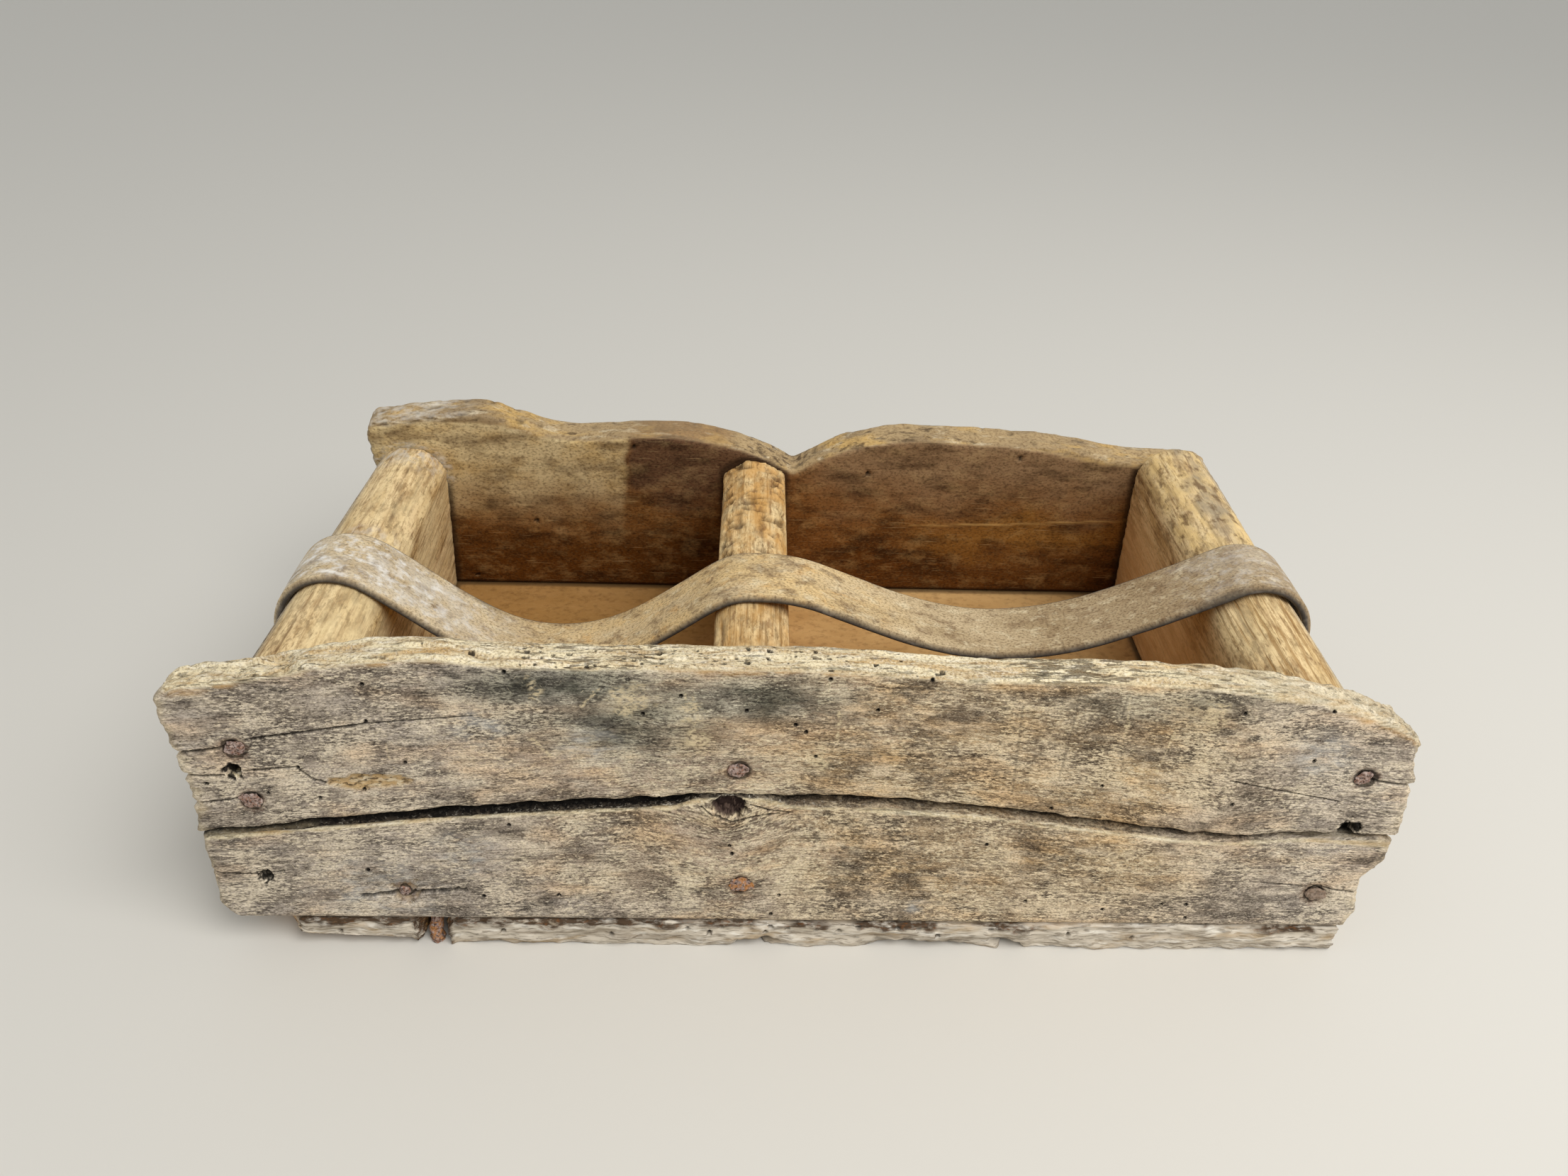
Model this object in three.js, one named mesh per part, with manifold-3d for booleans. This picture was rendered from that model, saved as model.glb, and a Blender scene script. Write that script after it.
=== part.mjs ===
// Two-section carry box: hand-sawn boards nailed into a tray with one divider,
// and a leather carrying strap that runs the length of the box over the divider.
// Millimetres. +X runs along the box, +Y to its back board, +Z up. It stands on Z = 0.

import * as THREE from 'three';
import { mergeVertices } from 'three/addons/utils/BufferGeometryUtils.js';
import Module from 'manifold-3d';

const wasm = await Module();
wasm.setup();

const radians = THREE.MathUtils.degToRad;

// Fits
const FIT_GAP = 0.3;                   // left between pieces that touch
const CUT_PAST = 4;                    // how far a cutting tool runs past the face it enters

// The box over all: the ends of the front board and the feet of the walls place the other pieces
const FRONT_LENGTH = 462;
const FOOT_DEPTH = 258;                // over the outer feet of the front and back boards

// Bottom board
const BOTTOM_END_INSET = 6;            // its ends, from the front board's ends
const BOTTOM_LIP = 1;                  // its long edges, out from the feet of the walls
const BOTTOM_THICKNESS = 14;
const BROKEN_CORNER_LENGTH = 24;       // the front left corner has crumbled away
const BROKEN_CORNER_DEPTH = 30;
const NOTCH_FROM_END = 77;             // splinter lost from the front edge, baring one nail
const NOTCH_WIDTH = 15;
const NOTCH_DEPTH = 15;

// Front and back boards: both lean inwards, and all heights are measured up the slope
const WALL_LEAN = radians(7);
const ARRIS_WEAR = 1.6;                // rubbed edges of the boards
const FRONT_END_TAPER = 3;             // how far its ends draw in towards the foot
const FRONT_THICKNESS = 18;
const FRONT_HEIGHT = 124;
const BACK_END_INSET = 9;              // its ends, from the front board's ends
const BACK_THICKNESS = 18;
const BACK_HEIGHT = 116;

// Split that parts the front board end to end
const SPLIT_GAP_MIDDLE = 3.4;
const SPLIT_GAP_END = 1.2;
const KNOT_HOLE_RADIUS = 5.4;
const KNOT_HOLE_X = -28;
const KNOT_HOLE_HEIGHT = 57;
const KNOT_HOLE_DEPTH = 12;

// End boards: round tops, thicker at the front than at the back, leaning inwards
const END_INSET = 29.5;                // middle of a round top, from the front board's end
const END_LEAN = radians(5);
const END_ROUND_HEIGHT = 14;           // how far the round top stands over its shoulders
const LEFT_END_FRONT_TOP = 112;
const LEFT_END_BACK_TOP = 108;
const LEFT_END_FRONT_THICKNESS = 44;
const LEFT_END_BACK_THICKNESS = 36;
const RIGHT_END_FRONT_TOP = 110;
const RIGHT_END_BACK_TOP = 117;
const RIGHT_END_FRONT_THICKNESS = 40;
const RIGHT_END_BACK_THICKNESS = 37;

// Divider
const DIVIDER_X = -20.7;
const DIVIDER_THICKNESS = 32.5;
const DIVIDER_TOP = 104;
const DIVIDER_ROUND_HEIGHT = 8;

// Leather strap
const STRAP_WIDTH = 36;
const STRAP_THICKNESS = 4;
const STRAP_Y = -14;
const GRIP_LENGTH = 60;                // the stretch over the divider that a hand takes
const GRIP_DROP_LEFT = 15;
const GRIP_DROP_RIGHT = 5;
const GRIP_SLOPE_LEFT = radians(36);
const GRIP_SLOPE_RIGHT = radians(22);
const LEFT_SAG = 42;                   // below the strap's crest on the divider
const RIGHT_SAG = 29;
const LEFT_LEAVE_ANGLE = radians(36);  // where the strap leaves the round top, from upright
const RIGHT_LEAVE_ANGLE = radians(28);
const LEFT_WRAP_ANGLE = radians(54);   // where it leaves again for the outer face
const RIGHT_WRAP_ANGLE = radians(36);
const TAIL_FOOT = 52;                  // height of the strap's cut ends on the outer faces
const SPAN_TENSION = 0.36;             // length of a curve's handle as a share of its reach
const SPAN_STEPS = 7;
const WRAP_STEPS = 9;

// Nails
const NAIL_SIDES = 8;
const NAIL_SINK = 0.9;                 // depth of a driven head's seat below the wood
const WALL_NAIL = { head: 3.6, headThickness: 1.4, shank: 1.6, length: 46, point: 8 };
const BOTTOM_NAIL = { head: 3.2, headThickness: 0.6, shank: 1.5, length: 42, point: 7 };
const STRAP_TACK = { head: 4.2, headThickness: 1.2, shank: 1.3, length: 19, point: 5 };
const BROAD_TACK = { head: 2.2, headThickness: 0.9, shank: 1.1, length: 13, point: 4 };
const TACK_SPACING = 18;
const TACK_HEIGHT = 62;

// Empty nail holes in the front board: its left or right end, inset from there, height up the board
const EMPTY_HOLES = [
  { end: -1, inset: 18, height: 73, radius: 3.0, depth: 11 },
  { end: -1, inset: 21, height: 22, radius: 2.8, depth: 14 },
  { end: 1, inset: 17, height: 51.5, radius: 3.6, depth: 13 },
];

// Outlines: stations run from -1 to 1 along the board, drops are below its highest point
const FRONT_TOP = [
  [-1, 13], [-0.9, 11], [-0.75, 4], [-0.6, 0], [-0.44, 3], [-0.03, 2],
  [0.27, 6], [0.52, 6], [0.71, 9], [0.85, 14], [0.97, 24], [1, 30],
];
const SPLIT_LINE = [
  [-1, 42.8], [-0.64, 53.6], [-0.28, 61], [0, 62.7], [0.25, 59.7],
  [0.47, 53.5], [0.71, 46.3], [0.86, 48.8], [1, 46.5],
];
const BACK_HORN = [[-1, 9], [-0.97, 5], [-0.82, 0.5], [-0.71, 0], [-0.61, 9], [-0.51, 13]];
const BACK_LEFT_LOBE = [[-0.37, 10.5], [-0.26, 10.5], [-0.15, 15.5], [-0.06, 23]];
const BACK_NOTCH = [0, 32];
const BACK_RIGHT_LOBE = [[0.06, 23], [0.14, 14.5], [0.25, 9.5], [0.38, 9.7], [0.6, 12.5]];
const BACK_RIGHT_SHOULDER = [[0.7, 16], [0.78, 20], [0.88, 21], [1, 23]];
const OUTLINE_STEPS = 2;

// Materials
const weatheredBoard = new THREE.MeshStandardMaterial({ color: '#8b7355', roughness: 0.85, metalness: 0 });
const innerBoard = new THREE.MeshStandardMaterial({ color: '#7a5a34', roughness: 0.8, metalness: 0 });
const honeyWood = new THREE.MeshStandardMaterial({ color: '#b08a50', roughness: 0.75, metalness: 0 });
const floorWood = new THREE.MeshStandardMaterial({ color: '#a87b48', roughness: 0.8, metalness: 0 });
const oldLeather = new THREE.MeshStandardMaterial({ color: '#8a7256', roughness: 0.65, metalness: 0 });
const rustedIron = new THREE.MeshStandardMaterial({ color: '#7a4a35', roughness: 0.9, metalness: 0.5 });

// Sizes that follow from the ones above
const frontEnd = FRONT_LENGTH / 2;
const bottomLength = FRONT_LENGTH - 2 * BOTTOM_END_INSET;
const bottomDepth = FOOT_DEPTH + 2 * BOTTOM_LIP;
const backLength = FRONT_LENGTH - 2 * BACK_END_INSET;
const endCentre = frontEnd - END_INSET;
const notchCentre = NOTCH_FROM_END - bottomLength / 2;

// A closed three.js geometry as a solid that can be cut, and back again
function solidOf(geometry) {
  const bare = geometry.clone();
  bare.deleteAttribute('normal');
  bare.deleteAttribute('uv');
  const merged = mergeVertices(bare);
  return new wasm.Manifold(new wasm.Mesh({
    numProp: 3,
    vertProperties: Float32Array.from(merged.attributes.position.array),
    triVerts: Uint32Array.from(merged.index.array),
  }));
}

function geometryOf(solid) {
  const { vertProperties, triVerts } = solid.getMesh();
  const geometry = new THREE.BufferGeometry();
  geometry.setAttribute('position', new THREE.BufferAttribute(vertProperties, 3));
  geometry.setIndex(new THREE.BufferAttribute(triVerts, 1));
  geometry.computeVertexNormals();
  return geometry;
}

function cut(geometry, tools) {
  const body = tools.reduce((rest, tool) => rest.subtract(solidOf(tool)), solidOf(geometry));
  return geometryOf(body);
}

// Frames of the two leaning boards: x along the board, y up its slope, z out of the box.
// The back board's x runs the other way, because it is seen from behind.
const wallFoot = BOTTOM_THICKNESS + FIT_GAP;
const frontFrame = new THREE.Matrix4().makeRotationX(Math.PI / 2 - WALL_LEAN);
frontFrame.setPosition(0, -FOOT_DEPTH / 2, wallFoot);
const backFrame = new THREE.Matrix4().makeRotationZ(Math.PI).multiply(frontFrame);

// Distance from the middle of the box to a wall's inner face, at a height over the ground
function innerReach(thickness, z) {
  return FOOT_DEPTH / 2 - thickness / Math.cos(WALL_LEAN) - (z - wallFoot) * Math.tan(WALL_LEAN);
}

// A board of a leaning wall: an outline with rubbed edges, its outer face at z = 0 of the frame
function wallBoard(outline, thickness, frame) {
  const geometry = new THREE.ExtrudeGeometry(outline, {
    depth: thickness - 2 * ARRIS_WEAR,
    bevelEnabled: true,
    bevelThickness: ARRIS_WEAR,
    bevelSize: ARRIS_WEAR,
    bevelOffset: -ARRIS_WEAR,
    bevelSegments: 1,
    curveSegments: OUTLINE_STEPS,
  });
  geometry.translate(0, 0, ARRIS_WEAR - thickness);
  return geometry.applyMatrix4(frame);
}

function topPoints(points, length, height) {
  return points.map(([station, drop]) => new THREE.Vector2(station * length / 2, height - drop));
}

// One edge of the split: side 1 is the upper board's edge, side -1 the lower board's
function splitPoints(side) {
  return SPLIT_LINE.map(([station, height]) => {
    const gap = SPLIT_GAP_END + (SPLIT_GAP_MIDDLE - SPLIT_GAP_END) * (1 - station ** 2);
    return new THREE.Vector2(station * frontEnd, height + side * gap / 2);
  });
}

function frontUpperOutline() {
  const top = topPoints(FRONT_TOP, FRONT_LENGTH, FRONT_HEIGHT);
  const edge = splitPoints(1);
  const outline = new THREE.Shape();
  outline.moveTo(edge[0].x, edge[0].y);
  outline.splineThru(edge.slice(1));
  outline.lineTo(top.at(-1).x, top.at(-1).y);
  outline.splineThru(top.toReversed().slice(1));
  outline.closePath();
  return outline;
}

function frontLowerOutline() {
  const edge = splitPoints(-1).toReversed();
  const outline = new THREE.Shape();
  outline.moveTo(FRONT_END_TAPER - frontEnd, 0);
  outline.lineTo(frontEnd - FRONT_END_TAPER, 0);
  outline.lineTo(edge[0].x, edge[0].y);
  outline.splineThru(edge.slice(1));
  outline.closePath();
  return outline;
}

// The back board's scalloped top: a horn on the left, two lobes with a sharp notch between, a low shoulder
function backOutline() {
  const place = (points) => topPoints(points, backLength, BACK_HEIGHT);
  const leftRun = place([...BACK_HORN, ...BACK_LEFT_LOBE, BACK_NOTCH]);
  const rightRun = place([...BACK_RIGHT_LOBE, ...BACK_RIGHT_SHOULDER]);
  const seenFromBehind = (points) => points.map((point) => new THREE.Vector2(-point.x, point.y));
  const left = seenFromBehind(leftRun);
  const right = seenFromBehind(rightRun);
  const outline = new THREE.Shape();
  outline.moveTo(right.at(-1).x, 0);
  outline.lineTo(left[0].x, 0);
  outline.lineTo(left[0].x, left[0].y);
  outline.splineThru(left.slice(1));
  outline.splineThru(right);
  outline.closePath();
  return outline;
}

// The round top of an upright board, as the circle through its two shoulders and its crown
function roundTop(centre, halfThickness, top, rise) {
  const radius = (halfThickness ** 2 + rise ** 2) / (2 * rise);
  return { x: centre, z: top - radius, radius, halfAngle: Math.asin(halfThickness / radius) };
}

// A cross board that stands between the walls: a leaning profile with a round top, swept from back to front
function crossBoard({ centre, rise, lean, frontTop, backTop, frontThickness, backThickness }) {
  const middle = (frontThickness + backThickness) / 2;
  const top = (frontTop + backTop) / 2;
  const shoulder = top - rise;
  const crown = roundTop(0, middle / 2, top, rise);
  const upright = Math.PI / 2;
  const profile = new THREE.Shape();
  profile.moveTo(-middle / 2, wallFoot);
  profile.lineTo(middle / 2, wallFoot);
  profile.lineTo(middle / 2, shoulder);
  profile.absarc(0, crown.z, crown.radius, upright - crown.halfAngle, upright + crown.halfAngle, false);
  profile.closePath();
  const geometry = new THREE.ExtrudeGeometry(profile, { depth: 1, bevelEnabled: false, curveSegments: 10 });
  const place = geometry.attributes.position;
  for (let i = 0; i < place.count; i += 1) {
    const height = place.getY(i);
    const atFront = place.getZ(i) > 0.5;
    const thickness = atFront ? frontThickness : backThickness;
    const wall = atFront ? FRONT_THICKNESS : BACK_THICKNESS;
    const z = THREE.MathUtils.mapLinear(height, wallFoot, top, wallFoot, atFront ? frontTop : backTop);
    const reach = innerReach(wall, z) - FIT_GAP;
    const leaned = centre + Math.max(shoulder - height, 0) * lean;
    place.setXYZ(i, leaned + place.getX(i) * thickness / middle, atFront ? -reach : reach, z);
  }
  return geometry;
}

const leftEnd = {
  centre: -endCentre,
  frontTop: LEFT_END_FRONT_TOP,
  backTop: LEFT_END_BACK_TOP,
  rise: END_ROUND_HEIGHT,
  lean: -Math.tan(END_LEAN),
  frontThickness: LEFT_END_FRONT_THICKNESS,
  backThickness: LEFT_END_BACK_THICKNESS,
};
const rightEnd = {
  centre: endCentre,
  frontTop: RIGHT_END_FRONT_TOP,
  backTop: RIGHT_END_BACK_TOP,
  rise: END_ROUND_HEIGHT,
  lean: Math.tan(END_LEAN),
  frontThickness: RIGHT_END_FRONT_THICKNESS,
  backThickness: RIGHT_END_BACK_THICKNESS,
};
const divider = {
  centre: DIVIDER_X,
  frontTop: DIVIDER_TOP,
  backTop: DIVIDER_TOP,
  rise: DIVIDER_ROUND_HEIGHT,
  lean: 0,
  frontThickness: DIVIDER_THICKNESS,
  backThickness: DIVIDER_THICKNESS,
};

// Middle of a cross board at a height over the ground: it leans below its round top
function middleOf(board, z) {
  const shoulder = (board.frontTop + board.backTop) / 2 - board.rise;
  return board.centre + Math.max(shoulder - z, 0) * board.lean;
}

function bottomOutline() {
  const half = bottomLength / 2;
  const front = -bottomDepth / 2;
  const outline = new THREE.Shape();
  outline.moveTo(-half + BROKEN_CORNER_LENGTH, front);
  outline.lineTo(notchCentre - NOTCH_WIDTH / 2, front);
  outline.lineTo(notchCentre - NOTCH_WIDTH / 3, front + NOTCH_DEPTH);
  outline.lineTo(notchCentre + NOTCH_WIDTH / 3, front + NOTCH_DEPTH);
  outline.lineTo(notchCentre + NOTCH_WIDTH / 2, front);
  outline.lineTo(half, front);
  outline.lineTo(half, -front);
  outline.lineTo(-half, -front);
  outline.lineTo(-half, front + BROKEN_CORNER_DEPTH);
  outline.closePath();
  return outline;
}

// A nail on its own axis: head at z = 0 and point towards -z
function nailGeometry({ head, headThickness, shank, length, point }) {
  const profile = [
    [0, -length], [shank, point - length], [shank, 0], [head, 0], [head, headThickness / 2], [0, headThickness],
  ].map(([radius, along]) => new THREE.Vector2(radius, along));
  return new THREE.LatheGeometry(profile, NAIL_SIDES).rotateX(Math.PI / 2);
}

// The hole and head seat that a nail needs, with clearance all round
function boreGeometry({ head, shank, length, point }) {
  const profile = [
    [0, -length - 2 * FIT_GAP], [shank + FIT_GAP, point - length], [shank + FIT_GAP, -FIT_GAP],
    [head + FIT_GAP, -FIT_GAP], [head + FIT_GAP, CUT_PAST], [0, CUT_PAST],
  ].map(([radius, along]) => new THREE.Vector2(radius, along));
  return new THREE.LatheGeometry(profile, NAIL_SIDES).rotateX(Math.PI / 2);
}

// Where a nail sits: a point on a face, sunk a little along that face's normal (the frame's z)
function seat(frame, x, y, sink) {
  return frame.clone().multiply(new THREE.Matrix4().makeTranslation(x, y, -sink));
}

// Heights up a leaning board of a point at a height over the ground
function upSlope(z) {
  return (z - wallFoot) / Math.cos(WALL_LEAN);
}

const nails = [];

function addNail(name, kind, matrix, through) {
  nails.push({ name, kind, matrix, through });
}

// Nails through the front board into the end boards and the divider
const FRONT_NAILS = [
  { name: 'front_nail_left_top', board: leftEnd, into: 'left_end_board', half: 'upper', offset: -9.4, z: 97 },
  { name: 'front_nail_left_middle', board: leftEnd, into: 'left_end_board', half: 'upper', offset: -5.7, z: 73 },
  { name: 'front_nail_divider_top', board: divider, into: 'divider_board', half: 'upper', offset: -3.9, z: 90 },
  { name: 'front_nail_divider_low', board: divider, into: 'divider_board', half: 'lower', offset: -2.7, z: 34 },
  { name: 'front_nail_right_top', board: rightEnd, into: 'right_end_board', half: 'upper', offset: 12, z: 90 },
  { name: 'front_nail_right_low', board: rightEnd, into: 'right_end_board', half: 'lower', offset: 2.8, z: 32 },
];
for (const { name, board, into, half, offset, z } of FRONT_NAILS) {
  const matrix = seat(frontFrame, middleOf(board, z) + offset, upSlope(z), NAIL_SINK);
  addNail(name, WALL_NAIL, matrix, [`front_board_${half}`, into]);
}

// A short broad tack left in the front board's lower half
const BROAD_TACK_INSET = 74;           // from the front board's left end
const BROAD_TACK_Z = 29;
const broadTackSeat = seat(frontFrame, BROAD_TACK_INSET - frontEnd, upSlope(BROAD_TACK_Z), NAIL_SINK);
addNail('front_broad_tack', BROAD_TACK, broadTackSeat, ['front_board_lower']);

// Nails through the back board, two into each cross board
const BACK_NAIL_ROWS = { top: 84, low: 38 };
const crossBoards = { left_end: leftEnd, divider, right_end: rightEnd };
for (const [boardName, board] of Object.entries(crossBoards)) {
  for (const [row, z] of Object.entries(BACK_NAIL_ROWS)) {
    const matrix = seat(backFrame, -middleOf(board, z), upSlope(z), NAIL_SINK);
    addNail(`back_nail_${boardName}_${row}`, WALL_NAIL, matrix, ['back_board', `${boardName}_board`]);
  }
}

// Nails driven up through the bottom board, their heads just inside its underside
const underside = new THREE.Matrix4().makeRotationX(Math.PI);
const BOTTOM_NAIL_INSET = 9.5;         // from the foot of a wall's outer face
const MIDDLE_NAIL_X = 62;
const RIGHT_NAIL_INSET = 67;           // from the bottom board's right end
const CROSS_NAIL_INSET = 67;           // from the foot of a wall's outer face
const LONG_EDGE_NAILS = { left: notchCentre, middle: MIDDLE_NAIL_X, right: bottomLength / 2 - RIGHT_NAIL_INSET };
const CROSS_EDGE_NAILS = { front: CROSS_NAIL_INSET - FOOT_DEPTH / 2, back: FOOT_DEPTH / 2 - CROSS_NAIL_INSET };
for (const [place, x] of Object.entries(LONG_EDGE_NAILS)) {
  const edge = FOOT_DEPTH / 2 - BOTTOM_NAIL_INSET;
  addNail(`bottom_nail_front_${place}`, BOTTOM_NAIL, seat(underside, x, edge, NAIL_SINK), [
    'bottom_board', 'front_board_lower',
  ]);
  addNail(`bottom_nail_back_${place}`, BOTTOM_NAIL, seat(underside, x, -edge, NAIL_SINK), [
    'bottom_board', 'back_board',
  ]);
}
for (const [boardName, board] of Object.entries(crossBoards)) {
  for (const [place, y] of Object.entries(CROSS_EDGE_NAILS)) {
    const matrix = seat(underside, middleOf(board, wallFoot), -y, NAIL_SINK);
    addNail(`bottom_nail_${boardName}_${place}`, BOTTOM_NAIL, matrix, ['bottom_board', `${boardName}_board`]);
  }
}

// A size of an end board that changes from its front to its back, at a place across the box
function sizeAt(board, y, frontSize, backSize) {
  const front = -innerReach(FRONT_THICKNESS, board.frontTop);
  const back = innerReach(BACK_THICKNESS, board.backTop);
  return THREE.MathUtils.mapLinear(y, front, back, frontSize, backSize);
}

// The most that an end board measures under the strap: half its thickness, and its top
const strapNear = STRAP_Y - STRAP_WIDTH / 2;
const strapFar = STRAP_Y + STRAP_WIDTH / 2;
function halfThicknessUnderStrap(board) {
  const at = (y) => sizeAt(board, y, board.frontThickness, board.backThickness) / 2;
  return Math.max(at(strapNear), at(strapFar));
}
function topUnderStrap(board) {
  const at = (y) => sizeAt(board, y, board.frontTop, board.backTop);
  return Math.max(at(strapNear), at(strapFar));
}

// Outer face of an end board under the strap: x along Y, y up the slope, z out of the box
function outerFaceFrame(board, side) {
  const turn = new THREE.Matrix4().makeRotationZ(side * Math.PI / 2);
  const tilt = new THREE.Matrix4().makeRotationX(Math.PI / 2 - END_LEAN);
  const x = middleOf(board, wallFoot) + side * halfThicknessUnderStrap(board);
  return new THREE.Matrix4().makeTranslation(x, STRAP_Y, wallFoot).multiply(turn).multiply(tilt);
}

// Two tacks hold each end of the strap on the outer face
const strapEnds = [
  { name: 'left', board: leftEnd, side: -1, leave: LEFT_LEAVE_ANGLE, wrapTo: LEFT_WRAP_ANGLE },
  { name: 'right', board: rightEnd, side: 1, leave: RIGHT_LEAVE_ANGLE, wrapTo: RIGHT_WRAP_ANGLE },
];
for (const { name, board, side } of strapEnds) {
  const face = outerFaceFrame(board, side);
  const height = (TACK_HEIGHT - wallFoot) / Math.cos(END_LEAN);
  const proud = 2 * FIT_GAP + STRAP_THICKNESS;
  for (const [place, across] of Object.entries({ front: -side, back: side })) {
    const matrix = seat(face, across * TACK_SPACING / 2, height, -proud);
    addNail(`strap_tack_${name}_${place}`, STRAP_TACK, matrix, [`strap_${name}_span`, `${name}_end_board`]);
  }
}

// A curve that leaves one point in a direction and comes to another point in a direction
function bend(from, fromDirection, to, toDirection) {
  const handle = SPAN_TENSION * from.distanceTo(to);
  return new THREE.CubicBezierCurve(
    from,
    from.clone().addScaledVector(fromDirection, handle),
    to.clone().addScaledVector(toDirection, -handle),
    to,
  );
}

const heading = (angle) => new THREE.Vector2(Math.cos(angle), Math.sin(angle));
const level = heading(0);
const crest = new THREE.Vector2(DIVIDER_X, DIVIDER_TOP + FIT_GAP + STRAP_THICKNESS / 2);
const gripLeft = crest.clone().add(new THREE.Vector2(-GRIP_LENGTH / 2, -GRIP_DROP_LEFT));
const gripRight = crest.clone().add(new THREE.Vector2(GRIP_LENGTH / 2, -GRIP_DROP_RIGHT));

// The strap's route over one end of the box, as points in the XZ plane from its cut end to the grip
function endRoute({ board, side, leave, wrapTo }, gripEnd, gripDirection, sag) {
  const standOff = FIT_GAP + STRAP_THICKNESS / 2;
  const half = halfThicknessUnderStrap(board);
  const crown = roundTop(board.centre, half, topUnderStrap(board), board.rise);
  const radius = crown.radius + standOff;
  const onCrown = (angle) => new THREE.Vector2(
    crown.x + side * radius * Math.sin(angle),
    crown.z + radius * Math.cos(angle),
  );
  const down = new THREE.Vector2(side * Math.sin(END_LEAN), -Math.cos(END_LEAN));
  const tail = new THREE.Vector2(middleOf(board, TAIL_FOOT) + side * (half + standOff / Math.cos(END_LEAN)), TAIL_FOOT);
  const dip = new THREE.Vector2((board.centre + DIVIDER_X) / 2, crest.y - sag);
  const inwards = (angle) => new THREE.Vector2(-side * Math.cos(angle), Math.sin(angle));
  const upTail = bend(tail, down.clone().negate(), onCrown(wrapTo), inwards(wrapTo));
  const leaves = onCrown(-leave);
  const intoDip = bend(leaves, inwards(-leave), dip, inwards(0));
  const outOfDip = bend(dip, inwards(0), gripEnd, gripDirection);
  const wrap = [];
  for (let i = 1; i < WRAP_STEPS; i += 1) {
    wrap.push(onCrown(THREE.MathUtils.lerp(wrapTo, -leave, i / WRAP_STEPS)));
  }
  return [
    ...upTail.getPoints(SPAN_STEPS),
    ...wrap,
    ...intoDip.getPoints(SPAN_STEPS),
    ...outOfDip.getPoints(SPAN_STEPS).slice(1),
  ];
}

// The last point of a route drawn back, so that the next piece of the strap meets it face to face
function drawnBack(points, gap) {
  const last = points.at(-1);
  const before = points.at(-2);
  const along = before.clone().sub(last).setLength(gap);
  return [...points.slice(0, -1), last.clone().add(along)];
}

// A ribbon of leather along a route in the XZ plane
function ribbon(points) {
  const offset = (side) => points.map((point, i) => {
    const before = points[Math.max(i - 1, 0)];
    const after = points[Math.min(i + 1, points.length - 1)];
    const along = after.clone().sub(before).normalize();
    return new THREE.Vector2(point.x - side * along.y, point.y + side * along.x);
  });
  const half = STRAP_THICKNESS / 2;
  const outline = new THREE.Shape([...offset(-half), ...offset(half).toReversed()]);
  const geometry = new THREE.ExtrudeGeometry(outline, { depth: STRAP_WIDTH, bevelEnabled: false });
  return geometry.rotateX(Math.PI / 2).translate(0, STRAP_Y + STRAP_WIDTH / 2, 0);
}

function gripRoute() {
  const climb = bend(gripLeft, heading(GRIP_SLOPE_LEFT), crest, level).getPoints(SPAN_STEPS);
  const fall = bend(crest, level, gripRight, heading(-GRIP_SLOPE_RIGHT)).getPoints(SPAN_STEPS);
  return [...climb, ...fall.slice(1)];
}

const [leftStrap, rightStrap] = strapEnds;
const leftRoute = endRoute(leftStrap, gripLeft, heading(GRIP_SLOPE_LEFT), LEFT_SAG);
const rightRoute = endRoute(rightStrap, gripRight, heading(Math.PI - GRIP_SLOPE_RIGHT), RIGHT_SAG);

// Holes in the front board where a knot fell out and where nails have rusted away
function hole({ x, height, radius, depth }) {
  const drill = new THREE.CylinderGeometry(radius, radius, depth + CUT_PAST, NAIL_SIDES).rotateX(Math.PI / 2);
  return drill.translate(x, height, (CUT_PAST - depth) / 2).applyMatrix4(frontFrame);
}
const knotHole = {
  x: KNOT_HOLE_X, height: KNOT_HOLE_HEIGHT, radius: KNOT_HOLE_RADIUS, depth: KNOT_HOLE_DEPTH,
};
const nailHoles = EMPTY_HOLES.map(({ end, inset, ...size }) => ({ x: end * (frontEnd - inset), ...size }));
const frontHoles = [...nailHoles, knotHole].map(hole);

// The feet of the leaning boards are planed level, to stand flat on the bottom board
const planedFoot = new THREE.BoxGeometry(2 * FRONT_LENGTH, 2 * FOOT_DEPTH, BOTTOM_THICKNESS);
planedFoot.translate(0, 0, wallFoot - BOTTOM_THICKNESS / 2);

function bottomBoard() {
  return new THREE.ExtrudeGeometry(bottomOutline(), { depth: BOTTOM_THICKNESS, bevelEnabled: false });
}

const pieces = [
  { name: 'front_board_upper', wood: weatheredBoard, holes: frontHoles,
    shape: wallBoard(frontUpperOutline(), FRONT_THICKNESS, frontFrame) },
  { name: 'front_board_lower', wood: weatheredBoard, holes: [...frontHoles, planedFoot],
    shape: wallBoard(frontLowerOutline(), FRONT_THICKNESS, frontFrame) },
  { name: 'back_board', wood: innerBoard, holes: [planedFoot],
    shape: wallBoard(backOutline(), BACK_THICKNESS, backFrame) },
  { name: 'left_end_board', wood: honeyWood, holes: [], shape: crossBoard(leftEnd) },
  { name: 'right_end_board', wood: honeyWood, holes: [], shape: crossBoard(rightEnd) },
  { name: 'divider_board', wood: honeyWood, holes: [], shape: crossBoard(divider) },
  { name: 'bottom_board', wood: floorWood, holes: [], shape: bottomBoard() },
  { name: 'strap_left_span', wood: oldLeather, holes: [], shape: ribbon(drawnBack(leftRoute, FIT_GAP)) },
  { name: 'strap_grip', wood: oldLeather, holes: [], shape: ribbon(gripRoute()) },
  { name: 'strap_right_span', wood: oldLeather, holes: [],
    shape: ribbon(drawnBack(rightRoute, FIT_GAP).toReversed()) },
];

const carryBox = new THREE.Group();
const boards = new THREE.Group();
const fastenings = new THREE.Group();
carryBox.add(boards, fastenings);

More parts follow.
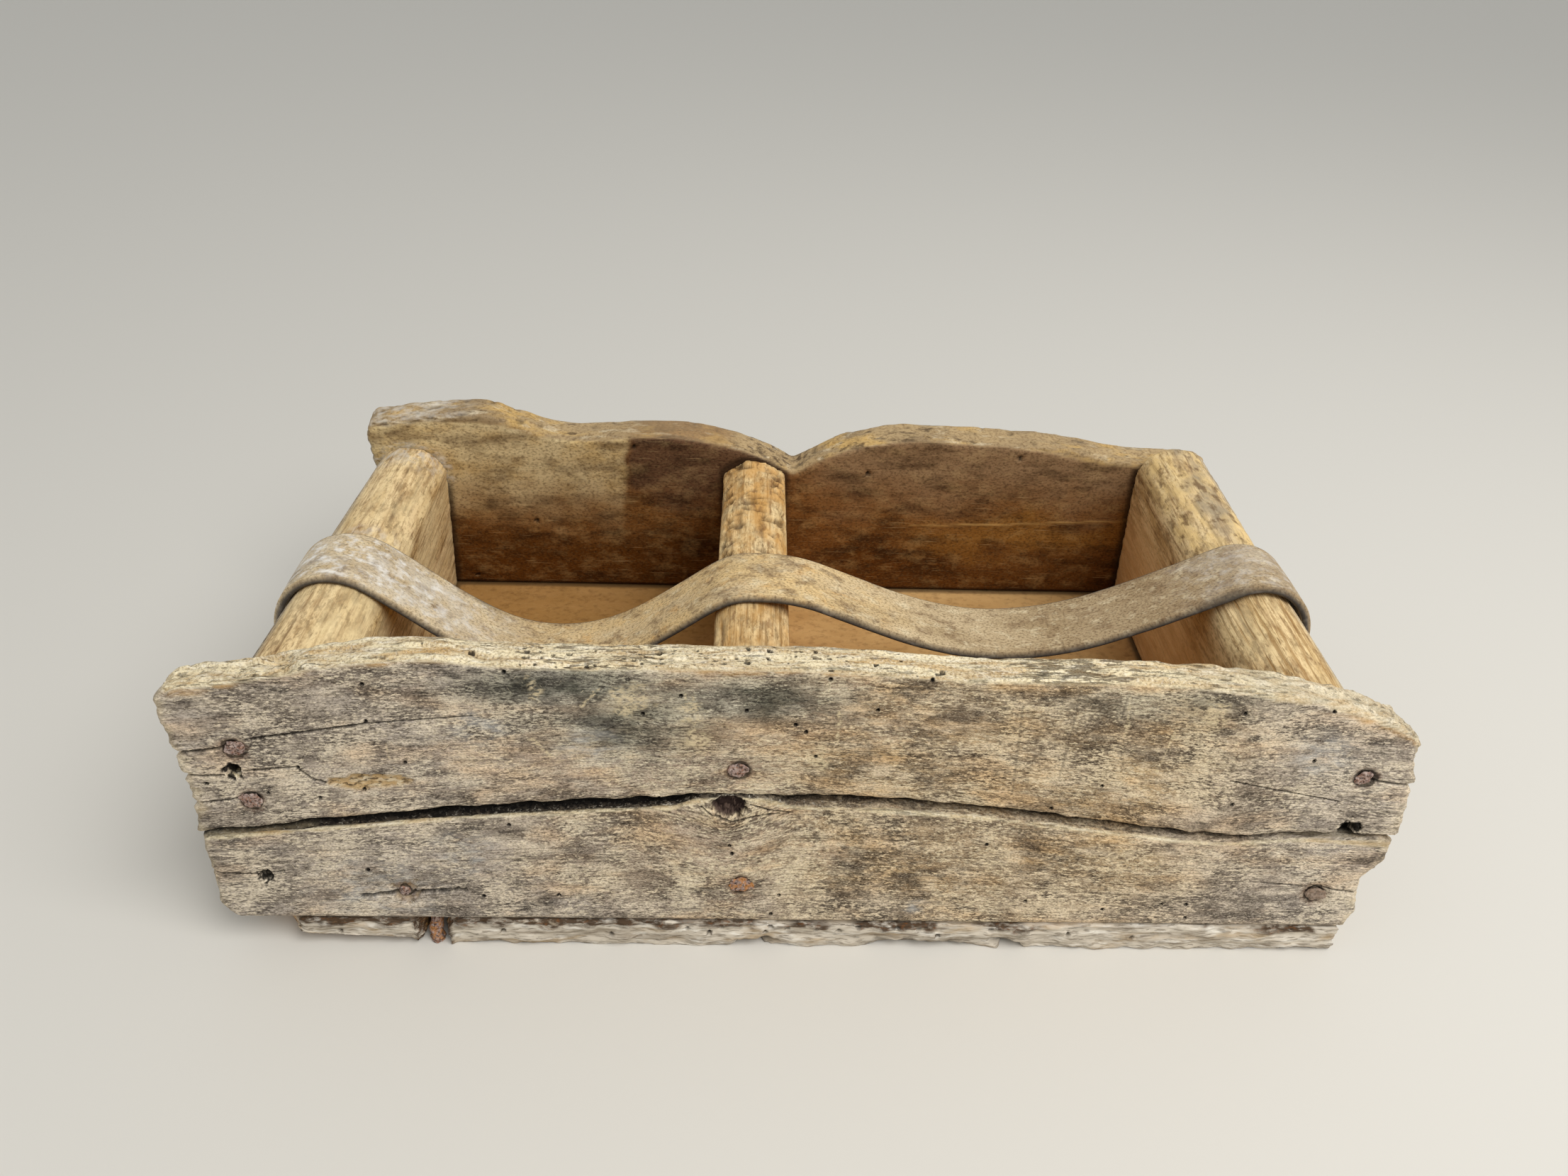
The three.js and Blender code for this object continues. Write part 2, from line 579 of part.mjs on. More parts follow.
for (const { name, wood, holes, shape } of pieces) {
  const bores = nails
    .filter(({ through }) => through.includes(name))
    .map(({ kind, matrix }) => boreGeometry(kind).applyMatrix4(matrix));
  const mesh = new THREE.Mesh(cut(shape, [...holes, ...bores]), wood);
  mesh.name = name;
  boards.add(mesh);
}

for (const { name, kind, matrix } of nails) {
  const mesh = new THREE.Mesh(nailGeometry(kind), rustedIron);
  mesh.name = name;
  mesh.applyMatrix4(matrix);
  fastenings.add(mesh);
}

export default carryBox;
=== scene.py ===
# %% [markdown]
# # An old two-section carry box
#
# The real object is a tray of hand-sawn boards, nailed together some lifetimes ago and parted by one
# divider. A leather strap runs along it to carry it by. Its beauty is its wear: silvered faces, a split
# from end to end, worm holes, a crumbling top edge and rusted nails. This lesson starts from plain solids
# of the right size and place, and gives each of them the skin of the real piece.

# %% Load the plain solids
import math
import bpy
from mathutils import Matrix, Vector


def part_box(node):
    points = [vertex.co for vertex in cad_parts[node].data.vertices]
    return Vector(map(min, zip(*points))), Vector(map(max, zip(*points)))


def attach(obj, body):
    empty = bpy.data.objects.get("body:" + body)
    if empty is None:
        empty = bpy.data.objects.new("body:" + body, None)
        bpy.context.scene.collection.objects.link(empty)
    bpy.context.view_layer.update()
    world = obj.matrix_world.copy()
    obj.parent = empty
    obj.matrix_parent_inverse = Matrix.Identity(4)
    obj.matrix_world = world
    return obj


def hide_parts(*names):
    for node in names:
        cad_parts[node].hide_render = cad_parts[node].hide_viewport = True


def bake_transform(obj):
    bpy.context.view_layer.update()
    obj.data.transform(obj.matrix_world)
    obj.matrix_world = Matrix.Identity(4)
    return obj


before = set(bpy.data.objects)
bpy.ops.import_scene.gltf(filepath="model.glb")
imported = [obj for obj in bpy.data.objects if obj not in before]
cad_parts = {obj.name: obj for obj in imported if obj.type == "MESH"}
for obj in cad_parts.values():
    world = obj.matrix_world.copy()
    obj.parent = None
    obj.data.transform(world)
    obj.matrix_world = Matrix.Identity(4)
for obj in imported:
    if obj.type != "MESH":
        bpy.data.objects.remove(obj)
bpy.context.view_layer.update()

from types import SimpleNamespace

import bpy
import numpy as np
from mathutils import Matrix, Vector, noise
from mathutils.bvhtree import BVHTree

MM = 0.001


# %% [markdown]
# ## The eye
#
# The camera comes first, because every later choice is judged through it. The photographer stood close, a
# little left of the middle, and looked down at the front board. Place, turn and lens were worked out from
# the vanishing points of the box's edges, so the lens is that of a phone held in the hand.

# %% Camera
CAMERA_PLACE = (-0.0210, -0.4310, 0.3905)
CAMERA_TURN = (55.20, -1.74, -0.77)      # degrees: tipped down by 34.8, with a slight roll
CAMERA_LENS = 26.04                      # millimetres, on the sensor below
SENSOR_WIDTH = 36
NEAREST_SEEN = 0.01

bpy.ops.object.camera_add(location=CAMERA_PLACE, rotation=[math.radians(a) for a in CAMERA_TURN])
camera = bpy.context.object
camera.data.lens = CAMERA_LENS
camera.data.sensor_width = SENSOR_WIDTH
camera.data.clip_start = NEAREST_SEEN
bpy.context.scene.camera = camera
bpy.context.scene.view_settings.view_transform = "Standard"
print("camera", camera.name, "lens", CAMERA_LENS)

# %% [markdown]
# ## Working in nodes
#
# All finishes are node trees. One small function adds a node with its settings and links, and one turns a
# colour as it is written on a paint card, in sRGB, into the linear light that the shader works in.

# %% Two helpers for node trees
def linear(card):
    """A colour such as #A0917F as linear red, green, blue and alpha."""
    parts = [int(card[i:i + 2], 16) / 255 for i in (1, 3, 5)]
    return [c / 12.92 if c <= 0.04045 else ((c + 0.055) / 1.055) ** 2.4 for c in parts] + [1]


def node(tree, kind, inputs=(), **settings):
    """Adds one node. Settings go on the node itself, and inputs are values or the sockets to link."""
    made = tree.nodes.new(kind)
    for name, value in settings.items():
        setattr(made, name, value)
    for socket, value in dict(inputs).items():
        if isinstance(value, bpy.types.NodeSocket):
            tree.links.new(value, made.inputs[socket])
        else:
            made.inputs[socket].default_value = value
    return made


print("paint card #A0917F is", [round(c, 3) for c in linear("#A0917F")])

# %% [markdown]
# ## The stage
#
# A plain pale floor, one wide soft lamp above the photographer's right shoulder, and a pale sky that fills
# the shadows. The lamp and the sky together light a level white card to about white, so that colours come
# out about as they are written.

# %% Floor, lamp and sky
FLOOR_SIZE = 30.0
FLOOR_CARD = "#D8D3C9"
FLOOR_ROUGHNESS = 0.75
SKY_CARD = "#E9ECEE"
SKY_LIGHT = 0.62                         # as it lights the box
SKY_SEEN = 1                             # as the camera and glossy faces see it
LAMP_PLACE = (0.70, -0.72, 1.42)
LAMP_SIZE = 1.3
LAMP_WATTS = 22

bpy.ops.object.select_all(action="DESELECT")
bpy.ops.mesh.primitive_plane_add(size=FLOOR_SIZE)
floor = bpy.context.object
floor.name = "pale_floor"
floor_paint = bpy.data.materials.new("pale_floor_paint")
floor_paint.use_nodes = True
floor_shader = floor_paint.node_tree.nodes["Principled BSDF"]
floor_shader.inputs["Base Color"].default_value = linear(FLOOR_CARD)
floor_shader.inputs["Roughness"].default_value = FLOOR_ROUGHNESS
floor.data.materials.append(floor_paint)

bpy.ops.object.light_add(type="AREA", location=LAMP_PLACE)
lamp = bpy.context.object
lamp.data.shape = "DISK"
lamp.data.size = LAMP_SIZE
lamp.data.energy = LAMP_WATTS
lamp.rotation_euler = Vector(LAMP_PLACE).to_track_quat("Z", "Y").to_euler()

sky = bpy.data.worlds.new("studio_sky")
bpy.context.scene.world = sky
sky.use_nodes = True
sky.node_tree.nodes.clear()
rays = node(sky.node_tree, "ShaderNodeLightPath")
seen = node(sky.node_tree, "ShaderNodeMath", {
    0: rays.outputs["Is Camera Ray"], 1: rays.outputs["Is Glossy Ray"],
}, operation="MAXIMUM")
sky_light = node(sky.node_tree, "ShaderNodeBackground", {"Color": linear(SKY_CARD), "Strength": SKY_LIGHT})
sky_seen = node(sky.node_tree, "ShaderNodeBackground", {"Color": linear(SKY_CARD), "Strength": SKY_SEEN})
sky_mix = node(sky.node_tree, "ShaderNodeMixShader", {
    0: seen.outputs[0], 1: sky_light.outputs[0], 2: sky_seen.outputs[0],
})
node(sky.node_tree, "ShaderNodeOutputWorld", {"Surface": sky_mix.outputs[0]})
print("stage: floor", FLOOR_CARD, "lamp", LAMP_WATTS, "W")

# %% [markdown]
# ## Finishes in coats
#
# Old wood is not one colour. It is a ground colour with many coats over it: slow clouds of tone, dark
# streaks where the soft grain has gone, pale fibres, scratches, and then what happened to it at known
# places. So each wood here is a list of coats. A coat has a colour and either the real size of its marks in
# millimetres, or the name of a mask that is painted on the mesh, or both. A coat can also stand up or sink
# in by a part of a millimetre, and all those heights together make the bump.

# %% Coats of colour over a ground colour
COAT_SHIFT = (0.37, 0.21, 0.13)          # metres from the noise of one coat to that of the next
NOISE_ROUGHNESS = 0.6
CROWDING = 0.5                           # how far a spread can thin out or thicken the marks
DRY_SHEEN = 0.2                          # old dry skins of wood, leather and rust hardly shine


def coat(colour, size=None, cut=(0.5, 0.6), turn=0, where=None, strength=1.0, relief=0.0, detail=2,
         spread=None, blend="MIX"):
    """One coat: marks of a size in mm, cut out of noise, turned in the board's face, only where a mask says.

    Cut gives the noise levels where a mark starts and where it is full, and detail how ragged its rim is.
    With a spread in mm the marks crowd in clouds of that size. Relief in mm raises them, or sinks them if it
    is negative. A coat covers what lies under it, but with blend MULTIPLY it darkens that, with SCREEN it
    brightens it and with COLOR it only gives it a hue."""
    return dict(colour=colour, size=size, cut=cut, turn=turn, where=where, strength=strength,
                relief=relief, detail=detail, spread=spread, blend=blend)


def mask_of(tree, place, number, spec):
    """The share of a coat at each point, from 0 to its strength."""
    share = None
    if spec["where"]:
        share = node(tree, "ShaderNodeAttribute", attribute_name=spec["where"]).outputs["Fac"]
    if spec["size"]:
        laid = node(tree, "ShaderNodeMapping", {
            "Vector": place,
            "Location": [shift * number for shift in COAT_SHIFT],
            "Rotation": (0, math.radians(spec["turn"]), 0),
            "Scale": [side * MM for side in spec["size"]],
        }, vector_type="TEXTURE")
        marks = node(tree, "ShaderNodeTexNoise", {
            "Vector": laid.outputs[0], "Scale": 1, "Detail": spec["detail"], "Roughness": NOISE_ROUGHNESS,
        }).outputs[0]
        if spec["spread"]:
            crowd = node(tree, "ShaderNodeTexNoise", {
                "Vector": place, "Scale": 1 / (spec["spread"] * MM), "Detail": 1,
            })
            crowded = node(tree, "ShaderNodeMath", {0: crowd.outputs[0], 1: CROWDING, 2: marks},
                           operation="MULTIPLY_ADD")
            marks = node(tree, "ShaderNodeMath", {0: crowded.outputs[0], 1: CROWDING / 2},
                         operation="SUBTRACT").outputs[0]
        cut_out = node(tree, "ShaderNodeMapRange", {
            "Value": marks, "From Min": spec["cut"][0], "From Max": spec["cut"][1],
            "To Min": 0, "To Max": spec["strength"],
        }).outputs[0]
        if share is None:
            return cut_out
        return node(tree, "ShaderNodeMath", {0: share, 1: cut_out}, operation="MULTIPLY").outputs[0]
    return node(tree, "ShaderNodeMath", {0: share, 1: spec["strength"]}, operation="MULTIPLY").outputs[0]


def coated(name, place_of, ground, coats, roughness):
    """A material of a ground colour and coats, with the coats' relief, in metres, as bump."""
    material = bpy.data.materials.new(name)
    material.use_nodes = True
    tree = material.node_tree
    shader = tree.nodes["Principled BSDF"]
    shader.inputs["Roughness"].default_value = roughness
    shader.inputs["Specular IOR Level"].default_value = DRY_SHEEN
    place = place_of(tree)
    colour = linear(ground)
    height = 0.0
    for number, spec in enumerate(coats, start=1):
        share = mask_of(tree, place, number, spec)
        mixed = node(tree, "ShaderNodeMix", {0: share, 6: colour, 7: linear(spec["colour"])},
                     data_type="RGBA", blend_type=spec["blend"])
        colour = mixed.outputs[2]
        if spec["relief"]:
            raised = node(tree, "ShaderNodeMath", {0: share, 1: spec["relief"] * MM, 2: height},
                          operation="MULTIPLY_ADD")
            height = raised.outputs[0]
    skin = node(tree, "ShaderNodeBump", {"Height": height, "Distance": 1, "Strength": 1})
    tree.links.new(colour, shader.inputs["Base Color"])
    tree.links.new(skin.outputs[0], shader.inputs["Normal"])
    return material


def along_grain(tree):
    """Where a point lies in the wood: the grain coordinates painted on each board."""
    return node(tree, "ShaderNodeAttribute", attribute_name="grain").outputs["Vector"]


print("what a coat holds:", list(coat("#A0917F")))

# %% [markdown]
# ### Weathered oak
#
# The front board: oak that was sawn by hand, then handled, soaked and dried for decades. The face is
# silvered grey-brown with dark streaks where the soft grain has gone and short tan fibres where it has been
# scuffed. The worn edges are bare straw yellow, and inside the box it stays brown.

# %% Weathered oak
def weathering(where=None, force=1.0):
    """The coats that decades outdoors leave on a bare face: slow tone, worn mottles, open grain, pale fibres.

    The mottles get fainter with a smaller force, on faces that were less exposed. Real pores are finer than
    the picture can show, so they are drawn about half a millimetre wide."""
    return [
        coat("#927F69", size=(70, 40, 26), cut=(0.42, 0.62), strength=0.6, where=where),
        coat("#5E4F41", size=(22, 14, 8), cut=(0.46, 0.62), strength=0.85 * force, where=where, detail=6),
        coat("#40372F", size=(11, 7, 4), cut=(0.53, 0.67), strength=0.8 * force, relief=-0.05, where=where,
             detail=6, spread=45),
        coat("#EAD7B8", size=(13, 9, 5), cut=(0.47, 0.63), strength=0.85 * force, where=where, detail=6),
        coat("#4A3C2E", size=(2.6, 1.7, 0.8), cut=(0.51, 0.58), strength=0.68, relief=-0.06, where=where,
             detail=4, spread=24),
        coat("#EEDCB8", size=(2.3, 1.5, 0.75), cut=(0.51, 0.58), strength=0.85, relief=0.05, where=where,
             detail=4, spread=20),
        coat("#6A5E52", size=(0.9, 0.7, 0.45), cut=(0.44, 0.64), strength=0.6, relief=-0.06, where=where,
             blend="MULTIPLY"),
        coat("#A89B86", size=(0.9, 0.7, 0.45), cut=(0.46, 0.66), strength=0.55, relief=0.04, where=where,
             blend="SCREEN"),
        coat("#6A5C50", size=(8, 2, 0.6), cut=(0.5, 0.68), strength=0.4, relief=-0.08, where=where,
             blend="MULTIPLY"),
        coat("#5A4C3C", size=(45, 3, 0.7), cut=(0.6, 0.68), strength=0.35, relief=-0.14, where=where,
             detail=1, blend="MULTIPLY"),
    ]


weathered_oak = coated("weathered_oak", along_grain, "#C8B096", [
    coat("#D0B27E", where="golden", strength=0.6),
    coat("#B4ADA3", where="grey", strength=0.6),
    *weathering(),
    coat("#A07846", size=(34, 20, 12), cut=(0.5, 0.66), strength=0.4, detail=5, blend="COLOR"),
    coat("#938A80", where="grey", strength=0.4, blend="COLOR"),
    coat("#B08846", where="golden", strength=0.12, blend="COLOR"),
    coat("#565B53", where="stain", size=(26, 12, 10), cut=(0.34, 0.58), strength=0.9, detail=6,
         blend="MULTIPLY"),
    coat("#70736A", where="stain", strength=0.35, blend="COLOR"),
    coat("#C8C6C0", where="haze", size=(9, 6, 3), cut=(0.44, 0.66), strength=0.45, detail=5),
    coat("#D8C9A8", size=(6, 2, 0.5), turn=62, cut=(0.7, 0.75), strength=0.6),
    coat("#D8C9A8", size=(5, 2, 0.5), turn=-48, cut=(0.7, 0.75), strength=0.6),
    coat("#DCC8A0", where="scuff", size=(1.8, 1.4, 0.9), cut=(0.44, 0.54), strength=0.75, relief=0.05,
         detail=5),
    coat("#3A3128", where="score", strength=0.34, relief=-0.1),
    coat("#6A4A36", where="rust", size=(3, 3, 2.4), cut=(0.3, 0.6), strength=0.6, detail=3),
    coat("#7A5836", where="inside", strength=0.85),
    coat("#BC935A", where="amber", size=(14, 4, 4), cut=(0.36, 0.56), strength=0.75, detail=3),
    # the split's broken faces: grey-brown broken wood, painted darker as painted shade inside the split
    coat("#50463A", where="torn", strength=0.95),
    coat("#140F0A", where="torn", size=(2.0, 1.6, 1.4), cut=(0.46, 0.56), strength=0.9, relief=-0.3,
         detail=4),
    coat("#C0B6A4", where="torn", size=(1.4, 1.2, 1.0), cut=(0.57, 0.64), strength=0.85, relief=0.2,
         detail=3),
    coat("#EEDDB6", where="wear", strength=1.0),
    coat("#BB9D70", where="wear", size=(26, 3, 2.4), cut=(0.46, 0.62), strength=0.8, relief=-0.25,
         detail=5),
    coat("#F6EBD2", where="wear", size=(14, 2.6, 1.8), cut=(0.52, 0.66), strength=0.7, relief=0.15,
         detail=5),
    coat("#CBA05E", where="wear", size=(34, 8, 8), cut=(0.54, 0.66), strength=0.6, detail=5),
    coat("#7C6850", where="wear", size=(1.0, 0.8, 0.7), cut=(0.46, 0.66), strength=0.6, relief=-0.15,
         blend="MULTIPLY"),
    coat("#FFF6E2", where="wear", size=(1.3, 1.0, 0.9), cut=(0.55, 0.69), strength=0.4, relief=0.1),
    coat("#4A3620", where="wear", size=(7, 1.4, 0.9), cut=(0.59, 0.65), strength=0.7, relief=-0.5, detail=5,
         spread=60),
    coat("#BC9C6C", where="fresh", strength=0.9),
    coat("#E2D2B2", where="fresh", size=(6, 3, 2), cut=(0.48, 0.6), strength=0.7, relief=0.2, detail=5),
    coat("#5A4630", where="fresh", size=(3.2, 1.6, 1.2), cut=(0.53, 0.63), strength=0.85, relief=-0.5,
         detail=4),
    coat("#2C1E19", where="heart", strength=1.0),
    coat("#705C50", where="heart", size=(1.6, 1.6, 1.4), cut=(0.52, 0.62), strength=0.6, relief=0.3,
         detail=3),
    # painted shade: black in worm holes, nail holes, cracks, galleries, the split, the knot and round nail
    # heads
    coat("#0E0A07", where="hollow", strength=0.98),
], roughness=0.84)
print(weathered_oak.name)

# %% [markdown]
# ## Shaping old boards
#
# Wear is carved, not sawn. A person would sculpt it: lay an even skin of small squares over the board, then
# brush the edges down, press cracks and worm holes in and roughen the crumbling parts. Here a Remesh
# modifier lays the skin, edit mode cuts it finer round small features, and each brush is a formula that
# moves the skin along its normal by parts of a millimetre. All these lengths are millimetres.

# %% An even skin on a copy of a solid
MERGE_DISTANCE = 0.00001


def only(piece):
    """Makes a piece the one selected and active object."""
    bpy.ops.object.select_all(action="DESELECT")
    piece.select_set(True)
    bpy.context.view_layer.objects.active = piece


def skinned_copy(name, solid, skin, added=()):
    """A copy of a solid and what is added to it, with merged triangles and an even skin of small squares."""
    piece = bpy.data.objects.new(name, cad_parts[solid].data.copy())
    bpy.context.scene.collection.objects.link(piece)
    piece.data.materials.clear()
    only(piece)
    for extra in added:
        extra.select_set(True)
        bpy.ops.object.join()
    bpy.ops.object.mode_set(mode="EDIT")
    bpy.ops.mesh.select_all(action="SELECT")
    bpy.ops.mesh.remove_doubles(threshold=MERGE_DISTANCE)
    bpy.ops.object.mode_set(mode="OBJECT")
    remesh = piece.modifiers.new("even skin", "REMESH")
    remesh.mode = "VOXEL"
    remesh.voxel_size = skin * MM
    bpy.ops.object.modifier_apply(modifier=remesh.name)
    return piece


print("a copy is merged within", MERGE_DISTANCE / MM, "mm before it gets its skin")

# %% Points and masks
def places(piece):
    """The piece's points in millimetres."""
    flat = np.empty(len(piece.data.vertices) * 3, np.float32)
    piece.data.vertices.foreach_get("co", flat)
    return flat.reshape(-1, 3).astype(float) / MM


def normals(piece):
    """The direction that the skin faces at each point."""
    flat = np.empty(len(piece.data.vertices) * 3, np.float32)
    piece.data.vertices.foreach_get("normal", flat)
    return flat.reshape(-1, 3).astype(float)


def reshape(piece, points):
    """Puts the piece's points at these places, in millimetres."""
    piece.data.vertices.foreach_set("co", (points * MM).astype(np.float32).ravel())
    piece.data.update()


def paint(piece, **masks):
    """Paints masks on the mesh, for the finishes to read: one number, or one place, for each point."""
    for name, values in masks.items():
        flat = np.asarray(values, np.float32)
        if flat.ndim == 1:
            piece.data.attributes.new(name, "FLOAT", "POINT").data.foreach_set("value", flat)
        else:
            piece.data.attributes.new(name, "FLOAT_VECTOR", "POINT").data.foreach_set("vector", flat.ravel())


def strengthen(masks, name, values):
    """Adds to a mask before it is painted: the stronger value stays at each point."""
    masks[name] = np.maximum(masks.get(name, 0), values)


print("points of a plain half board:", len(places(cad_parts["front_board_lower"])))

# %% Cutting finer and rubbing round
RUB_STRENGTH = 0.5                       # share of the way to the middle of a point's neighbours


def cut_finer(piece, near, cuts):
    """Cuts the squares that touch the chosen points into smaller ones, in edit mode."""
    corners = np.empty(len(piece.data.loops), np.int32)
    starts = np.empty(len(piece.data.polygons), np.int32)
    piece.data.loops.foreach_get("vertex_index", corners)
    piece.data.polygons.foreach_get("loop_start", starts)
    only(piece)
    bpy.ops.object.mode_set(mode="EDIT")
    bpy.ops.mesh.select_mode(type="FACE")
    bpy.ops.mesh.select_all(action="DESELECT")
    bpy.ops.object.mode_set(mode="OBJECT")
    piece.data.polygons.foreach_set("select", np.logical_or.reduceat(near[corners], starts))
    bpy.ops.object.mode_set(mode="EDIT")
    bpy.ops.mesh.subdivide(number_cuts=cuts)
    bpy.ops.object.mode_set(mode="OBJECT")


def rub(piece, chosen, times):
    """Rubs an edge round with edit mode's smooth tool."""
    only(piece)
    bpy.ops.object.mode_set(mode="EDIT")
    bpy.ops.mesh.select_mode(type="VERT")
    bpy.ops.mesh.select_all(action="DESELECT")
    bpy.ops.object.mode_set(mode="OBJECT")
    piece.data.vertices.foreach_set("select", chosen)
    bpy.ops.object.mode_set(mode="EDIT")
    bpy.ops.mesh.vertices_smooth(factor=RUB_STRENGTH, repeat=times)
    bpy.ops.object.mode_set(mode="OBJECT")


print("one rub moves a point by", RUB_STRENGTH, "of its way")

# %% Brushes
def rough(at, size, octaves=3, shift=0.0):
    """Natural unevenness between about -1 and 1, with lumps of a size in mm along X, Y and Z."""
    return np.array([noise.fractal(p, 1.0, 2.0, octaves) for p in at / np.array(size, float) + shift])


def ease(low, high, value):
    """0 at low, 1 at high, with a soft start and stop. High may be below low."""
    share = np.clip((value - low) / (high - low), 0, 1)
    return share * share * (3 - 2 * share)


def spot_distance(flat, spots):
    """Distance from points in a plane to the nearest of some spots."""
    return np.min([np.hypot(flat[:, 0] - x, flat[:, 1] - y) for x, y in spots], axis=0)


def corner_rounding(from_side, from_end, radius):
    """How far to pull points in from two edges that meet at a corner, to make it round."""
    over = np.clip(radius - from_side, 0, radius)
    beside = np.clip(radius - from_end, 0, radius)
    share = 1 - np.maximum(over, beside) / np.maximum(np.hypot(over, beside), 0.001)
    return over * share, beside * share


def line_distance(flat, line):
    """Distance from points in a plane to a line drawn through some points."""
    nearest = np.full(len(flat), np.inf)
    for start, stop in zip(np.array(line[:-1], float), np.array(line[1:], float)):
        along = stop - start
        share = np.clip((flat - start) @ along / (along @ along), 0, 1)
        nearest = np.minimum(nearest, np.linalg.norm(flat - start - share[:, None] * along, axis=1))
    return nearest


def depth_below_edge(along, height, step=2.0):
    """How far each point lies below the highest point at the same place along the board."""
    bins = ((along - along.min()) / step).astype(int)
    highest = np.full(bins.max() + 2, -np.inf)
    np.maximum.at(highest, bins, height)
    highest[-1] = highest[-2]
    share = (along - along.min()) / step - bins
    return highest[bins] * (1 - share) + highest[bins + 1] * share - height


print("brushes ease in and out:", [round(float(ease(0, 1, share)), 2) for share in (0, 0.25, 0.5, 0.75, 1)])

# %% Neighbours, and the finished piece
def nearness(piece, solids, reach):
    """1 where a piece's skin touches some other solids, 0 where it is a reach in mm or more away."""
    near = np.zeros(len(piece.data.vertices))
    for solid in solids:
        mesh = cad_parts[solid].data
        tree = BVHTree.FromPolygons([v.co for v in mesh.vertices], [p.vertices for p in mesh.polygons])
        for number, vertex in enumerate(piece.data.vertices):
            distance = tree.find_nearest(vertex.co, reach * MM)[3]
            if distance is not None:
                near[number] = max(near[number], 1 - distance / (reach * MM))
    return near


def finish_piece(piece, solids, material):
    """Smooth shading, material, and what the piece stands for."""
    piece.data.materials.append(material)
    only(piece)
    bpy.ops.object.shade_smooth()
    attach(piece, "box")
    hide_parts(*solids)
    print(piece.name, "triangles:", sum(len(p.vertices) - 2 for p in piece.data.polygons))


print("shaping tools ready")

# %% [markdown]
# ## The split front board
#
# One board, split along its grain from end to end, so it is two pieces. The grain arches up in the middle
# and the split follows it, round an old knot. The top edge is rubbed to a pale, crumbling ridge full of
# worm galleries. Cracks run in from both ends past the nails. The places below were read off the real
# board, as x along it and z over the floor.

# %% Front board: what happened to it, and where
WALL_LEAN = math.radians(7)
FRONT_OUT = np.array((0, -math.cos(WALL_LEAN), math.sin(WALL_LEAN)))
FRONT_UP = np.array((0, math.sin(WALL_LEAN), math.cos(WALL_LEAN)))
FRONT_FOOT = np.array((0, -129, 14.3))
FRONT_END = 231                          # half the board's length
KNOT = (-28.3, 58.9)                     # along the board, and up it from its foot
KNOT_HOLE = (7.0, 5.4)                   # half width and half height
KNOT_DEPTH = 3.4
KNOT_RIGHT = (-30, 20)                   # between these x the split turns narrow and dusty
KNOT_WOOD = (-26, 58, 22, 7)             # wood that swells round the knot: along, up, half width, half height
KNOT_WOOD_DEPTH = 14
KNOT_WOOD_SIDES = 32
FLUSH = 0.05                             # how far that wood stays behind the face
SPLIT = [
    (-231, 57), (-148, 67), (-64, 74.5), (-29, 71), (-4, 76), (59, 73), (109, 67), (164, 60), (197, 62.5),
    (231, 60),
]
SPLIT_GAPE = [                           # x, and how far the lower half's edge is broken down
    (-231, 0.8), (-195, 2.0), (-150, 3.0), (-70, 1.8), (-40, 0.5), (0, -0.2), (60, 0.2), (130, 0.6),
    (180, 0.1), (212, -0.6), (231, -0.9),
]
UPPER_WORM_HOLES = [
    (-109, 132), (-160, 126), (-161, 110), (-149, 92), (-202, 77), (-224, 81), (-183, 75), (-166, 79),
    (-189, 89), (-22, 117), (-60, 115), (-4, 111), (0, 108), (26, 118), (8, 131), (45, 131), (4, 97),
    (-55, 77), (-46, 123), (162, 119), (193, 98), (195, 120), (114, 85), (166, 77), (96, 74),
]
LOWER_WORM_HOLES = [
    (-113, 63), (-170, 40), (-126, 27), (-96, 28), (73, 56), (-8, 29), (92, 27), (-11, 19), (-28, 54),
    (-27, 50), (148, 26), (158, 26), (159, 19), (124, 23),
]
EMPTY_NAIL_HOLES = [(-213, 86.8, 3.0), (-210, 36.1, 2.8), (214, 65.4, 3.6)]      # x, z and radius
UPPER_CRACKS = [                         # half width, then the points it runs through
    (1.1, [(-232, 94), (-214, 97)]), (0.7, [(-206, 101), (-160, 109)]), (0.4, [(-160, 109), (-122, 113)]),
    (0.7, [(-231, 84), (-217, 85)]), (0.6, [(-209, 87), (-190, 89), (-185, 84), (-180, 82)]),
    (0.6, [(-228, 72), (-209, 75)]), (0.4, [(163, 88), (207, 79)]), (0.8, [(217, 89), (234, 86)]),
]
LOWER_CRACKS = [
    (1.6, [(-174, 26), (-157, 29)]), (1.5, [(-155, 28), (-145, 29.5), (-133, 30)]),
    (0.4, [(186, 38), (209, 36)]), (0.6, [(209, 36), (228, 33)]), (0.5, [(-231, 38), (-212, 37), (-203, 39)]),
    (0.5, [(-39, 73), (-35, 68.5), (-27, 65.5), (-18, 68.5), (-9, 70)]),
    (0.5, [(-20, 74), (-13, 71.5), (-4, 70.5)]),
]
SCORES = [[(99, 132), (99, 117), (97, 88)], [(117, 126), (116, 111)], [(79, 120), (80, 81)]]
SCUFF_LINES = [
    [(138, 114), (134, 92)], [(118, 125), (119, 108)], [(-75, 126), (-82, 118)],
    [(-45, 124), (-42, 114), (-39, 99)], [(-101, 103), (-95, 96)], [(-155, 100), (-154, 89)],
    [(12, 118), (12, 103)],
]
SCUFF_SPOTS = [                          # x, z and reach
    (-64, 121, 9), (-42, 117, 6), (-39, 105, 6), (6, 95, 6), (150, 118, 7), (-100, 125, 4),
]
CHIP = [                                 # x, z and half width of a long flake that came off
    (-181, 82, 0), (-177, 82, 1.5), (-168, 82, 3.3), (-160, 83, 3.0), (-152, 83.5, 2.0), (-147, 83.5, 0),
]
STAINS = [                               # x, z, half width, half height and strength
    (-88, 126, 46, 12, 1.0), (-66, 110, 42, 18, 0.8), (-22, 121, 44, 12, 0.9), (130, 122, 50, 9, 0.5),
]
